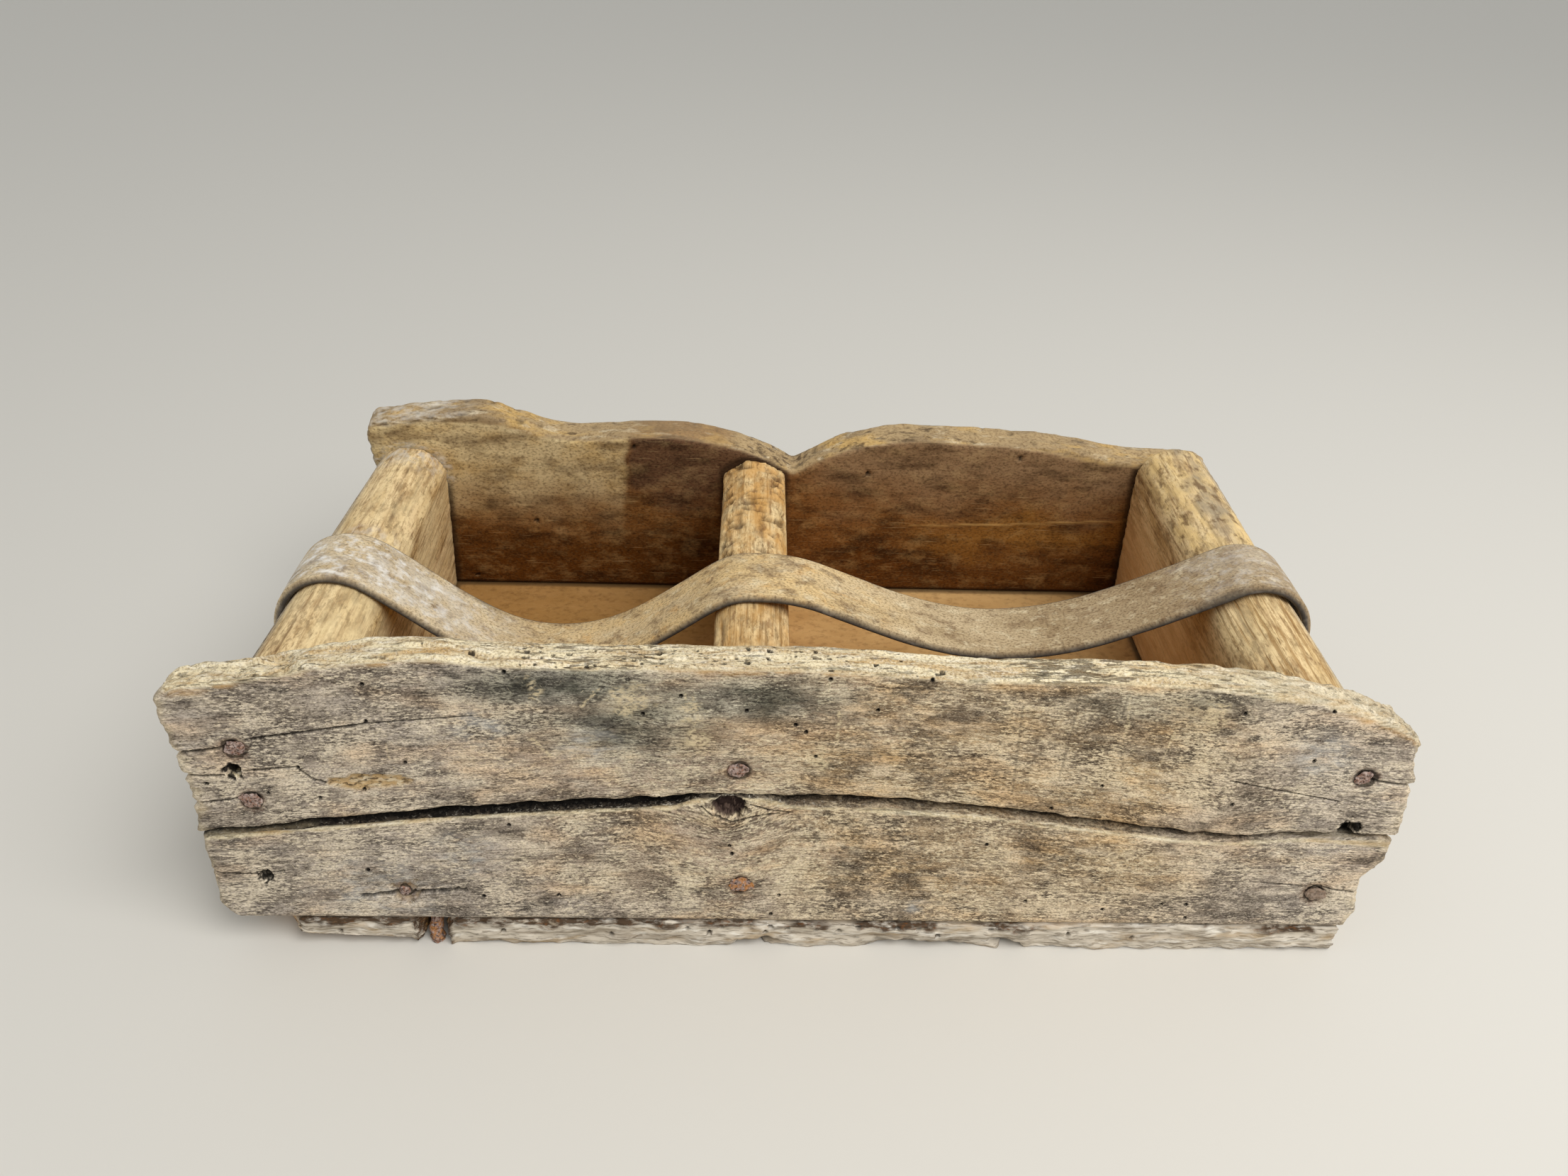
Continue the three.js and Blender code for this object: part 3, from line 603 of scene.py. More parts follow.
HAZES = [                                # x, z and reach of pale places
    (-131, 48, 22), (-165, 30, 34), (-81, 101, 18), (195, 100, 20), (48, 23, 8), (-120, 108, 16),
]
HEAD_SLICE = 1.0                         # a nail's points this near to its outermost ones are its head
NAIL_SEAT = (6.5, 0.3)                   # radius and depth of the dent round a nail
DEEP_SEATS = {"front_nail_right_low": (8, 1.0), "front_nail_left_middle": (6.5, 0.6)}
END_BITES = [                            # side of the box, z and depth
    (-1, 94, 2.0), (-1, 84, 2.2), (-1, 71, 1.6), (-1, 38, 1.4), (1, 86, 1.6), (1, 61, 1.2),
]
LEFT_OUTLINE = [                         # z, and how far the end stands out there
    (14, 0), (22, 3.4), (40, 1), (56, -0.5), (74, -2), (93, 1.6), (107, 4.2), (117, 6), (126, 4), (134, 0),
]
RIGHT_OUTLINE = [
    (14, 0), (23, 0.8), (34, -2.5), (40, -3.2), (48, 1.6), (68, 3), (81, 2.9), (92, 1.6), (120, 0),
]
END_ZONE = 190                           # the ends' wear stays beyond this x and leaves the arched top alone
END_BULGE = 2.4
CORNER_ROUND = (9, 5)                    # of the upper and the lower left corner
PIT_COUNT = 100                          # worm galleries in the worn top, thickest left of the middle
PIT_MIDDLE = -36
PIT_SPREAD = 52
PIT_INWARD = (0.5, 13)                   # nearest to the face, and furthest from it
PIT_RADIUS = (0.25, 0.7)                 # the smallest, and what the largest has more than that
PIT_STRETCH = (0.8, 1.05)                # a pit is longer along the grain
dice = np.random.default_rng(5)
pits_along = dice.normal(PIT_MIDDLE, PIT_SPREAD, PIT_COUNT)
top_pits = np.stack([pits_along, dice.uniform(*PIT_INWARD, PIT_COUNT)], axis=1)
pit_sizes = PIT_RADIUS[0] + PIT_RADIUS[1] * dice.uniform(0, 1, PIT_COUNT) ** 2


def head_of(nail, out):
    """The middle of a nail's head: of those of its points that lie furthest out."""
    at = places(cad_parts[nail])
    reach = at @ out
    return at[reach > reach.max() - HEAD_SLICE].mean(axis=0)


def split_height(along):
    """How far up the board the split runs, at places along it."""
    up = [(z - FRONT_FOOT[2]) / math.cos(WALL_LEAN) for x, z in SPLIT]
    return np.interp(along, [x for x, z in SPLIT], up)


def knot_wood(along, up, half_width, half_height):
    """An oval block for the wood that swells round the knot, flush with the board's face."""
    middle = FRONT_FOOT + (along, 0, 0) + up * FRONT_UP - (KNOT_WOOD_DEPTH / 2 + FLUSH) * FRONT_OUT
    bpy.ops.object.select_all(action="DESELECT")
    bpy.ops.mesh.primitive_cylinder_add(
        vertices=KNOT_WOOD_SIDES, radius=1, depth=KNOT_WOOD_DEPTH * MM, location=middle * MM,
        rotation=(math.radians(90) - WALL_LEAN, 0, 0), scale=(half_width * MM, half_height * MM, 1))
    return bpy.context.object


front_pieces = [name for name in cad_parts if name.startswith("front_")]
front_nails = [name for name in front_pieces if not name.startswith("front_board")]
print("worm holes:", len(UPPER_WORM_HOLES + LOWER_WORM_HOLES), "nails:", len(front_nails))

# %% Front board: measure the skin, and cut it finer
SQUARE_ON = 0.6                          # cosine of the angle up to which a point faces a way
FINE_REACH = {"worm hole": 2.2, "crack": 0.8, "scratch": 1.2, "nail hole": 6, "pit": 1.6}
FINE_KNOT = 1.5                          # in radii of the knot's hole
FINE_CUTS = 2


def measure_front(piece):
    """Where each point of a half lies along, up and into the board, and which way it faces."""
    at, out = places(piece), normals(piece)
    along = at[:, 0]
    height = (at - FRONT_FOOT) @ FRONT_UP
    from_end = np.minimum(depth_below_edge(height, along), depth_below_edge(height, -along))
    return SimpleNamespace(
        at=at, out=out, along=along, face=at[:, [0, 2]], height=height, depth=-(at - FRONT_FOOT) @ FRONT_OUT,
        front=ease(0.3, 0.8, out @ FRONT_OUT), inside=ease(0.3, 0.8, -out @ FRONT_OUT),
        top=ease(0.3, 0.75, out @ FRONT_UP), below=depth_below_edge(along, height),
        from_end=np.maximum(from_end, END_ZONE - np.abs(along)),
        from_knot=np.hypot((along - KNOT[0]) / KNOT_HOLE[0], (height - KNOT[1]) / KNOT_HOLE[1]),
    )


def refine_front(piece, worm_holes, cracks):
    """Smaller squares where holes, cracks and scratches come."""
    skin = measure_front(piece)
    nail_holes = [(x, z) for x, z, radius in EMPTY_NAIL_HOLES]
    near = spot_distance(skin.face, worm_holes) < FINE_REACH["worm hole"]
    near |= spot_distance(skin.face, nail_holes) < FINE_REACH["nail hole"]
    near |= skin.from_knot < FINE_KNOT
    for wide, crack in cracks:
        near |= line_distance(skin.face, crack) < wide + FINE_REACH["crack"]
    for line in SCORES + SCUFF_LINES:
        near |= line_distance(skin.face, line) < FINE_REACH["scratch"]
    near &= skin.out @ FRONT_OUT > SQUARE_ON
    near_pit = spot_distance(np.stack([skin.along, skin.depth], axis=1), top_pits) < FINE_REACH["pit"]
    near |= near_pit & (skin.out @ FRONT_UP > SQUARE_ON)
    cut_finer(piece, near, FINE_CUTS)


print("squares are cut finer within, in mm:", FINE_REACH)

# %% Front board: brushes for the worn top, the split and the ends
TOP_LIP = (2.6, 2.0)                     # how far the pale wear runs down the face by the right and left end
TOP_LAYERS = 1.0                         # relief of the worn top: its layers, its fibres, bites out of it
TOP_FIBRES = 0.5
TOP_BITES = 1.6
PIT_DEPTH = 1.2
SPLIT_CRUMBS = 0.9                       # relief of the broken edges: of the upper half and of the lower half
SPLIT_SPLINTERS = 0.8
END_CRUMBS = (0.8, 0.5)                  # coarse and fine relief of the ends


def wear_top(skin, marks, ragged):
    """The upper half's worn top with its galleries, and its edge on the split. Gives the moves outward."""
    lip = TOP_LIP[0] * ease(110, 205, skin.along) + TOP_LIP[1] * ease(-190, -225, skin.along)
    marks["wear"] = np.maximum(skin.top, ease(lip + 1.2, lip, skin.below + 1.4 * ragged))
    layers = rough(skin.at, (44, 3.4, 2.6), shift=7.4)
    fibres = rough(skin.at, (15, 1.8, 1.6), shift=9.7)
    bites = np.clip(rough(skin.at, (15, 9, 9), shift=13.2) - 0.1, 0, 1)
    step = marks["wear"] * (TOP_LAYERS * layers + TOP_FIBRES * fibres - TOP_BITES * bites)
    from_pit = np.min([
        np.hypot((skin.along - x) * PIT_STRETCH[0], (skin.depth - inward) * PIT_STRETCH[1]) - size
        for (x, inward), size in zip(top_pits, pit_sizes)
    ], axis=0) + 0.5 * rough(skin.at, (2, 1.4, 1.4))
    level = ease(0.6, 0.8, skin.out @ FRONT_UP)
    step -= PIT_DEPTH * ease(0, -0.4, from_pit) * level
    open_grain = np.clip(3 * (-fibres - 0.46), 0, 0.6) * skin.top
    # painted shade in the worm galleries and the open grain
    marks["hollow"] = np.maximum(0.9 * ease(0.2, -0.1, from_pit) * level, open_grain)
    under_lip = ease(lip + 3.5, lip + 1.2, skin.below + 1.5 * ragged) * (1 - marks["wear"])
    marks["amber"] = under_lip * ease(-0.1, 0.3, rough(skin.at, (60, 20, 20), shift=19)) * skin.front
    on_split = ease(0.3, 0.7, -skin.out @ FRONT_UP)
    return step + SPLIT_CRUMBS * on_split * rough(skin.at, (11, 4, 4), 4, shift=25)


def tear_split(skin, marks, ragged):
    """The lower half's torn edge, which gapes left of the knot, painted dark as broken wood and as painted
    shade of the split. Gives the moves outward.
    """
    gape = np.interp(skin.along, *zip(*SPLIT_GAPE)) * ease(8, 1.5, skin.depth)
    torn = ease(0.25, 0.6, skin.out @ FRONT_UP) * ease(12, 4, skin.below)
    rim = ease(2.2, 1.0, skin.below + 0.8 * ragged) * skin.front
    marks["torn"] = np.maximum(torn, 0.9 * rim) * (1 - 0.7 * ease(*KNOT_RIGHT, skin.along))
    # a pale line 2 mm below the torn edge: worn fibres and a painted highlight along the lip
    marks["wear"] = 0.75 * ease(1.0, 0.3, np.abs(skin.below - 2.0) + 0.8 * ragged) * skin.front
    return torn * (SPLIT_SPLINTERS * rough(skin.at, (9, 3, 3), shift=7) - gape)


def wear_ends(skin, marks, ragged):
    """Crumbled and bitten ends, pale where they are frayed; towards the right end that pale is toned down as
    painted shade. Gives the moves outward.
    """
    coarse = rough(skin.at, (9, 9, 9), shift=21)
    fine = rough(skin.at, (3, 4, 3), shift=22)
    step = ease(9, 0.5, skin.from_end) * (END_CRUMBS[0] * coarse + END_CRUMBS[1] * fine)
    for side, height, bite in END_BITES:
        notch = ease(2.6, 0.5, np.abs(skin.at[:, 2] - height)) * ease(5, 0, skin.from_end)
        step -= bite * notch * (skin.along * side > 0)
    frayed = ease(5, 0.5, skin.from_end + 3 * ragged) * ease(70, 20, skin.at[:, 2]) * (skin.along > 0)
    rim = 0.25 * ease(4, 1, skin.from_end + 2.5 * ragged)
    # painted shade: the pale wear is toned down towards the right end
    shaded_right_end = 0.45 * ease(120, 190, skin.along)
    marks["wear"] = np.maximum.reduce([marks["wear"], 0.7 * frayed, rim]) * (1 - shaded_right_end)
    return step


print("worm galleries in the top:", len(top_pits))

# %% Front board: brushes for holes, cracks, nail seats and the knot
WORM_DEPTH = 1.6
NAIL_HOLE_DEPTH = 2.0
CRACK_DEPTH = 1.8                        # for each millimetre of half width
CHIP_DEPTH = 0.9
TACK_TEAR = 0.8                          # depth of the wood that came away round the small tack
SEAT_EDGE = 3.9                          # radius where a nail's dent is deepest
SPLIT_DUST = 2.5                         # how much shallower the split looks where it is dusty


def bore_holes(skin, marks, grit, worm_holes):
    """Worm holes, and the holes of lost nails, with painted shade in them. Gives the moves outward."""
    from_worm = spot_distance(skin.face, worm_holes)
    step = -WORM_DEPTH * ease(0.75, 0.45, from_worm) * skin.front
    strengthen(marks, "hollow", ease(0.95, 0.7, from_worm + 0.15 * grit) * skin.front)
    for x, z, radius in EMPTY_NAIL_HOLES:
        from_hole = np.hypot(skin.face[:, 0] - x, skin.face[:, 1] - z) + 1.8 * grit
        step -= NAIL_HOLE_DEPTH * ease(radius + 0.6, radius - 0.8, from_hole) * skin.front
        dark = 0.97 * ease(radius + 0.7, radius + 0.1, from_hole)
        strengthen(marks, "hollow", dark * (1 - skin.inside))
    return step


def open_cracks(skin, marks, grit, cracks):
    """Cracks along the grain, with painted shade in them, and the long flake that came off. Gives the moves
    outward.
    """
    step = np.zeros(len(skin.at))
    for wide, crack in cracks:
        groove = ease(wide, 0.1, line_distance(skin.face, crack) + 0.35 * wide * grit) * skin.front
        step -= CRACK_DEPTH * wide * groove
        strengthen(marks, "hollow", 0.95 * groove)
    chip_x, chip_z, chip_wide = zip(*CHIP)
    wide = np.interp(skin.along, chip_x, chip_wide)
    from_spine = np.abs(skin.face[:, 1] - np.interp(skin.along, chip_x, chip_z))
    from_spine += 1.3 * rough(skin.at, (5, 3, 2.4), 4, shift=5)
    chip = ease(0.5, -0.5, from_spine - wide) * (wide > 0) * skin.front
    strengthen(marks, "fresh", chip)
    return step - CHIP_DEPTH * chip * (1 - grit)


def seat_nails(skin, marks, grit):
    """A rusty dent round each nail, and painted shade in the gap at its head. Gives the moves outward."""
    step = np.zeros(len(skin.at))
    for nail in front_nails:
        reach, sunk = DEEP_SEATS.get(nail, NAIL_SEAT)
        x, _, z = head_of(nail, FRONT_OUT)
        low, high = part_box(nail)
        head = 0.5 * (high[0] - low[0]) / MM
        from_nail = np.hypot(skin.face[:, 0] - x, skin.face[:, 1] - z) + 0.7 * grit
        dent = ease(reach, SEAT_EDGE, from_nail) * skin.front
        step -= sunk * dent
        strengthen(marks, "rust", dent)
        strengthen(marks, "hollow", 0.8 * ease(head + 1.0, head + 0.5, from_nail) * skin.front)
        if nail == "front_broad_tack":
            torn = ease(5.0, 4.0, from_nail + 3.5 * grit) * skin.front
            step -= TACK_TEAR * torn * (1 - grit)
            strengthen(marks, "fresh", 0.3 * torn)
    return step


def sink_knot(skin, marks, grit):
    """The knot's pit, with its dark heart and painted shade under its upper rim. Gives the moves outward."""
    pit = ease(1.15, 0.75, skin.from_knot + 0.2 * grit) * skin.front
    shaded = ease(0.45, 0.9, skin.from_knot) * ease(-1.5, 2, skin.height - KNOT[1])
    strengthen(marks, "hollow", 0.8 * pit * shaded)
    marks["heart"] = ease(0.35, 0.8, pit)
    return -pit * (KNOT_DEPTH - 1.4 * grit)


def darken_split(skin, marks, grit):
    """Painted shade: the deep parts of the split are black, apart from the dusty stretch."""
    from_split = np.abs(skin.height - split_height(skin.along))
    depth = skin.depth - SPLIT_DUST * ease(*KNOT_RIGHT, skin.along) + 0.8 * grit
    deep = ease(1.6, 4.5, depth) * (1 - skin.inside) * ease(7, 3, from_split)
    strengthen(marks, "hollow", 0.92 * deep)


print("cracks:", len(UPPER_CRACKS + LOWER_CRACKS), "lost nails:", len(EMPTY_NAIL_HOLES))

# %% Front board: weather and grain
KNOT_SWIRL = 8
SWIRL_REACH = (20, 9)                    # along the board, and up it
GRAIN_ARCH = (57, 45)                    # the height where the grain arches most, and how fast that fades


def paint_weather(skin, marks):
    """Stains, scuffs, scratches and haze at known places, then silver and gold in wide clouds."""
    face = skin.face
    patchy = rough(skin.at, (4, 4, 3), shift=41)
    for x, z, wide, tall, strength in STAINS:
        from_stain = np.hypot((face[:, 0] - x) / wide, (face[:, 1] - z) / tall)
        strengthen(marks, "stain", strength * ease(1.2, 0.2, from_stain) * skin.front)
    for line in SCUFF_LINES:
        strengthen(marks, "scuff", ease(0.7, 0.2, line_distance(face, line) + 1.1 * patchy) * skin.front)
    for x, z, reach in SCUFF_SPOTS:
        from_spot = np.hypot(face[:, 0] - x, face[:, 1] - z) + 5 * patchy
        strengthen(marks, "scuff", ease(reach, 0.3 * reach, from_spot) * skin.front)
    for line in SCORES:
        strengthen(marks, "score", ease(0.7, 0.15, line_distance(face, line) + 0.4 * patchy) * skin.front)
    for x, z, reach in HAZES:
        from_spot = np.hypot(face[:, 0] - x, 1.4 * (face[:, 1] - z))
        strengthen(marks, "haze", ease(reach, 0.2 * reach, from_spot) * skin.front)
    cloud = rough(skin.at, (46, 30, 26), shift=51)
    silvered = 0.85 * ease(-20, -150, skin.along + 40 * cloud) + ease(120, 215, skin.along + 30 * cloud)
    marks["grey"] = np.clip(silvered + 0.4 * ease(42, 20, face[:, 1]) + 0.4 * cloud, 0, 1)
    sunny = ease(-30, 30, skin.along + 30 * cloud) * ease(210, 130, skin.along)
    marks["golden"] = np.clip(sunny + 0.5 * cloud, 0, 1)
    marks["inside"] = skin.inside * (1 - marks["wear"])


def bent_grain(skin):
    """Grain coordinates that arch with the split and swirl round the knot."""
    arch = split_height(skin.along) - split_height(np.array([-FRONT_END, 0, FRONT_END])).mean()
    beside = (skin.along - KNOT[0]) / SWIRL_REACH[0]
    above = (skin.height - KNOT[1]) / SWIRL_REACH[1]
    swirl = KNOT_SWIRL * np.exp(-beside ** 2) * np.tanh(above) * np.exp(-np.abs(above) / 2)
    grain = skin.at.copy()
    grain[:, 2] -= np.exp(-np.abs(skin.height - GRAIN_ARCH[0]) / GRAIN_ARCH[1]) * arch + swirl
    return grain * MM


print("the grain arches by, in mm:", round(float(np.ptp(split_height(np.linspace(-FRONT_END, FRONT_END))))))

# %% Front board: carve and paint the two halves
FRONT_SKIN = 1.0
FACE_WAVES = 0.25                        # relief of the slow waves that the saw left
CORNER_RUBS = 30
RIM_RUBS = 3


def shape_ends(skin, moved, is_upper):
    """Gives both ends the outline of the real board, and rounds the corner on the left."""
    z = skin.at[:, 2]
    left = skin.along < 0
    swell = np.sin(math.pi * np.clip(skin.height / 100, 0, 1)) * ease(12, 0, skin.from_end)
    outline = np.where(left, np.interp(z, *zip(*LEFT_OUTLINE)), np.interp(z, *zip(*RIGHT_OUTLINE)))
    moved[:, 0] += np.sign(moved[:, 0]) * (END_BULGE * swell + outline * ease(26, 0, skin.from_end))
    inward = -1 if is_upper else 1
    from_side = skin.below if is_upper else skin.height
    over, beside = corner_rounding(from_side, skin.from_end, CORNER_ROUND[0 if is_upper else 1])
    moved[left] += inward * over[left, None] * FRONT_UP
    moved[left, 0] += beside[left]
    return moved


def carve_front(name, solid, worm_holes, cracks, is_upper):
    """One half of the front board, from its solid."""
    swelling = [] if is_upper else [knot_wood(*KNOT_WOOD)]
    piece = skinned_copy(name, solid, FRONT_SKIN, swelling)
    skin = measure_front(piece)
    corners = (skin.from_end < 10) & (skin.below < 12) if is_upper else skin.from_end < 2
    rub(piece, corners, CORNER_RUBS)
    rub(piece, skin.below < 3 + 3 * ease(100, 200, skin.along), RIM_RUBS)
    refine_front(piece, worm_holes, cracks)

    skin = measure_front(piece)
    marks = {}
    ragged = rough(skin.at, (16, 5, 5))
    grit = rough(skin.at, (2.4, 2.4, 2.4), shift=31)
    step = FACE_WAVES * rough(skin.at, (50, 5, 4), 4, shift=3)
    step += wear_top(skin, marks, ragged) if is_upper else tear_split(skin, marks, ragged)
    step += wear_ends(skin, marks, ragged)
    step += bore_holes(skin, marks, grit, worm_holes) + open_cracks(skin, marks, grit, cracks)
    step += seat_nails(skin, marks, grit) + sink_knot(skin, marks, grit)
    reshape(piece, shape_ends(skin, skin.at + step[:, None] * skin.out, is_upper))
    darken_split(skin, marks, grit)
    paint_weather(skin, marks)
    paint(piece, grain=bent_grain(skin), **marks)
    finish_piece(piece, [solid], weathered_oak)


carve_front("old_front_upper", "front_board_upper", UPPER_WORM_HOLES, UPPER_CRACKS, is_upper=True)
carve_front("old_front_lower", "front_board_lower", LOWER_WORM_HOLES, LOWER_CRACKS, is_upper=False)

# %% [markdown]
# ## The darkened back board
#
# The tall board at the back has a horn, two lobes and a sharp notch along its top, rubbed round by hands.
# Inside, years of goods and grease have burnished it dark brown, apart from a lighter olive patch in the
# left section with a hard edge, where something stood against it. Outside it is weathered like the front.

# %% Greased oak
greased_oak = coated("greased_oak", along_grain, "#85582A", [
    coat("#9C7E5C", where="pale", strength=0.9),
    coat("#A5752F", where="gold", strength=0.45),
    coat("#5E3406", where="low", strength=0.9),
    coat("#E2CB9A", where="olive", strength=0.95),
    coat("#C29A54", where="olive", size=(30, 16, 18), cut=(0.47, 0.66), strength=0.6, detail=4),
    coat("#6A4C36", where="dark", strength=0.9),
    coat("#604730", size=(24, 12, 10), cut=(0.48, 0.66), strength=0.65, detail=5, blend="MULTIPLY"),
    coat("#86704A", size=(12, 8, 8), cut=(0.5, 0.68), strength=0.6, detail=5, blend="SCREEN"),
    coat("#664E36", size=(1.6, 1.2, 1.1), cut=(0.46, 0.66), strength=0.6, detail=3, blend="MULTIPLY"),
    coat("#6E5A3C", size=(1.6, 1.2, 1.0), cut=(0.5, 0.68), strength=0.4, detail=3, blend="SCREEN"),
    coat("#C8A878", size=(16, 2, 0.6), cut=(0.68, 0.74), strength=0.4, detail=1),
    coat("#2A1A0C", where="joint", strength=0.75),
    coat("#BAA486", where="outside", strength=1.0),
    *weathering("outside", force=0.4),
    coat("#6A4A36", where="rust", size=(4, 2, 2), cut=(0.2, 0.6), strength=0.8),
    coat("#B59A70", where="wear", strength=1.0),
    coat("#8C7556", where="wear", size=(60, 24, 24), cut=(0.46, 0.6), strength=0.65, detail=4),
    coat("#CFA966", where="wear", size=(36, 12, 12), cut=(0.52, 0.64), strength=0.8, detail=5),
    coat("#DFCEAC", where="wear", size=(16, 5, 5), cut=(0.57, 0.67), strength=0.6, relief=0.1, detail=5),
    coat("#4E3A26", where="wear", size=(9, 3, 3), cut=(0.58, 0.68), strength=0.75, relief=-0.2, detail=5,
         spread=70),
    coat("#846E50", where="wear", size=(1.5, 1.2, 1.2), cut=(0.46, 0.66), strength=0.5, detail=3,
         blend="MULTIPLY"),
    coat("#E2DCD0", where="dust", size=(7, 4, 3), cut=(0.42, 0.64), strength=0.7, detail=5),
    coat("#C9A060", where="ridge", size=(30, 3, 3), cut=(0.3, 0.6), strength=0.75, relief=0.3),
    # painted shade: dark in the worm holes and in the pits of the worn top
    coat("#1D140C", where="hollow", strength=0.9),
], roughness=0.62)
print(greased_oak.name)

# %% Back board
BACK_SKIN = 1.3
BACK_OUT = np.array((0, math.cos(WALL_LEAN), math.sin(WALL_LEAN)))
BACK_UP = np.array((0, -math.sin(WALL_LEAN), math.cos(WALL_LEAN)))
BACK_FOOT = np.array((0, 129, 14.3))
PATCH_EDGE = -86                         # where the olive patch ends, along the box
PATCH_FOOT = 66                          # where it fades out above the floor
RIDGE = [(66, 61.5), (120, 63.5), (190, 68)]
WALL_NEIGHBOURS = ("left_end_board", "divider_board", "right_end_board", "bottom_board")
BACK_WORM_HOLES = [(-108, 118), (-84, 110), (-178, 20), (40, 96), (120, 108), (-140, 60)]
BACK_WORM_DEPTH = 2.5
BACK_WAVES = 0.2                         # relief of the faces, then of the worn top and of the pits in it
BACK_TOP_LUMPS = 0.9
BACK_PITS = 1.5
BACK_TOP_LOSS = 0.3                      # what wear took off the top all along
BACK_SEAT = 0.6                          # depth of the dents round the nails
TOP_RUBS = 14
JOINT_REACH = 6                          # how far dirt lies out from the joints
back_nails = [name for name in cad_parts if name.startswith("back_nail")]
back_nail_spots = [head_of(name, BACK_OUT)[[0, 2]] for name in back_nails]


def measure_back(piece):
    """Where each point of the back board lies, and which way it faces."""
    at, out = places(piece), normals(piece)
    return SimpleNamespace(
        at=at, out=out, along=at[:, 0], face=at[:, [0, 2]],
        below=depth_below_edge(at[:, 0], (at - BACK_FOOT) @ BACK_UP),
        outside=np.maximum(ease(0.2, 0.7, out @ BACK_OUT), ease(0.5, 0.8, np.abs(out[:, 0]))),
        inside=ease(0.2, 0.7, -out @ BACK_OUT), top=ease(0.35, 0.75, out @ BACK_UP),
    )


def wear_back(skin, marks, ragged):
    """The rubbed, pitted top, the ragged ends, worm holes and nail seats. Gives the moves outward."""
    rubbed = 1.0 + 2.5 * ease(-110, -150, skin.along) + 2.5 * ease(90, 150, skin.along)
    wear = np.maximum(skin.top, ease(rubbed + 1, rubbed - 1, skin.below + 1.6 * ragged))
    wear *= 1 - 0.55 * ease(-92, -80, skin.along) * ease(-26, -40, skin.along)
    lumps = rough(skin.at, (26, 6, 6), shift=9)
    pits = np.clip(rough(skin.at, (7, 4, 3), shift=17) - 0.3, 0, 1) * wear
    step = BACK_WAVES * rough(skin.at, (70, 8, 6), 4, shift=3)
    step += wear * (BACK_TOP_LUMPS * lumps - BACK_TOP_LOSS) - BACK_PITS * pits
    from_end = np.minimum(skin.along - skin.along.min(), skin.along.max() - skin.along)
    step += ease(8, 1, from_end) * rough(skin.at, (6, 9, 5), shift=4)
    holes = ease(1.5, 0.8, spot_distance(skin.face, BACK_WORM_HOLES))
    from_nail = spot_distance(skin.face, back_nail_spots)
    step -= BACK_WORM_DEPTH * holes + BACK_SEAT * ease(7, 3.8, from_nail) * skin.outside
    ridge = ease(0.9, 0.3, line_distance(skin.face, RIDGE) + 0.3 * ragged) * skin.inside
    # the worm holes and the pits of the top get painted shade
    marks.update(wear=wear, hollow=np.maximum(holes, np.clip(1.2 * pits, 0, 0.5)), outside=skin.outside,
                 rust=ease(9, 3.5, from_nail) * skin.outside, ridge=ridge * (1 - wear))
    return step


def grease_back(piece, skin, marks, ragged):
    """The inner face: the olive patch that years of use left, dark and pale parts, darker towards the floor,
    then dirt and dust.
    """
    at, along, inside = skin.at, skin.along, skin.inside
    cloud = rough(at, (30, 30, 22), shift=33)
    height = at[:, 2] + 14 * cloud
    edge = PATCH_EDGE + 3 * rough(at, (24, 24, 16), 5, shift=2) - 0.12 * np.clip(110 - at[:, 2], 0, 60)
    marks["olive"] = ease(1.5, -3, along - edge) * ease(PATCH_FOOT - 16, PATCH_FOOT + 30, height) * inside
    marks["dark"] = ease(-1.5, 3, along - edge) * ease(64, 92, height) * ease(14, -24, along) * inside
    marks["pale"] = ease(-6, 30, along) * ease(58, 100, height) * inside
    # darker towards the floor
    marks["low"] = ease(66, 34, height + 16 * ease(60, 140, along)) * inside
    marks["gold"] = ease(50, 90, along) * ease(34, 46, height) * ease(72, 56, height) * inside
    by_end = nearness(piece, ["left_end_board"], JOINT_REACH)
    dusty_rim = ease(0.25, 0.7, by_end + 0.25 * ragged) * inside * ease(78, 92, at[:, 2])
    dusty_top = 0.7 * ease(-150, -190, along + 16 * cloud) * ease(0.3, 0.7, skin.top)
    marks["dust"] = np.maximum(dusty_top, dusty_rim)
    dirt = ease(0.35, 0.9, nearness(piece, WALL_NEIGHBOURS, JOINT_REACH))
    marks["joint"] = dirt * inside * (1 - dusty_rim)


def carve_back():
    """The back board, from its solid."""
    piece = skinned_copy("old_back_board", "back_board", BACK_SKIN)
    rub(piece, measure_back(piece).below < 5, TOP_RUBS)
    skin = measure_back(piece)
    marks = {"grain": skin.at * MM}
    ragged = rough(skin.at, (18, 7, 6))
    step = wear_back(skin, marks, ragged)
    reshape(piece, skin.at + step[:, None] * skin.out)
    grease_back(piece, skin, marks, ragged)
    paint(piece, **marks)
    finish_piece(piece, ["back_board"], greased_oak)


carve_back()

# %% [markdown]
# ## The hand-worn cross boards
#
# Two thick ends and the divider carry the walls and the strap. Their tops are rounded like a handle. Along
# the grain they are pale straw where hands rubbed them, honey brown on their sides, with dark open lines.
# The right end was scraped in patches behind the strap, and the divider's top is gouged across.

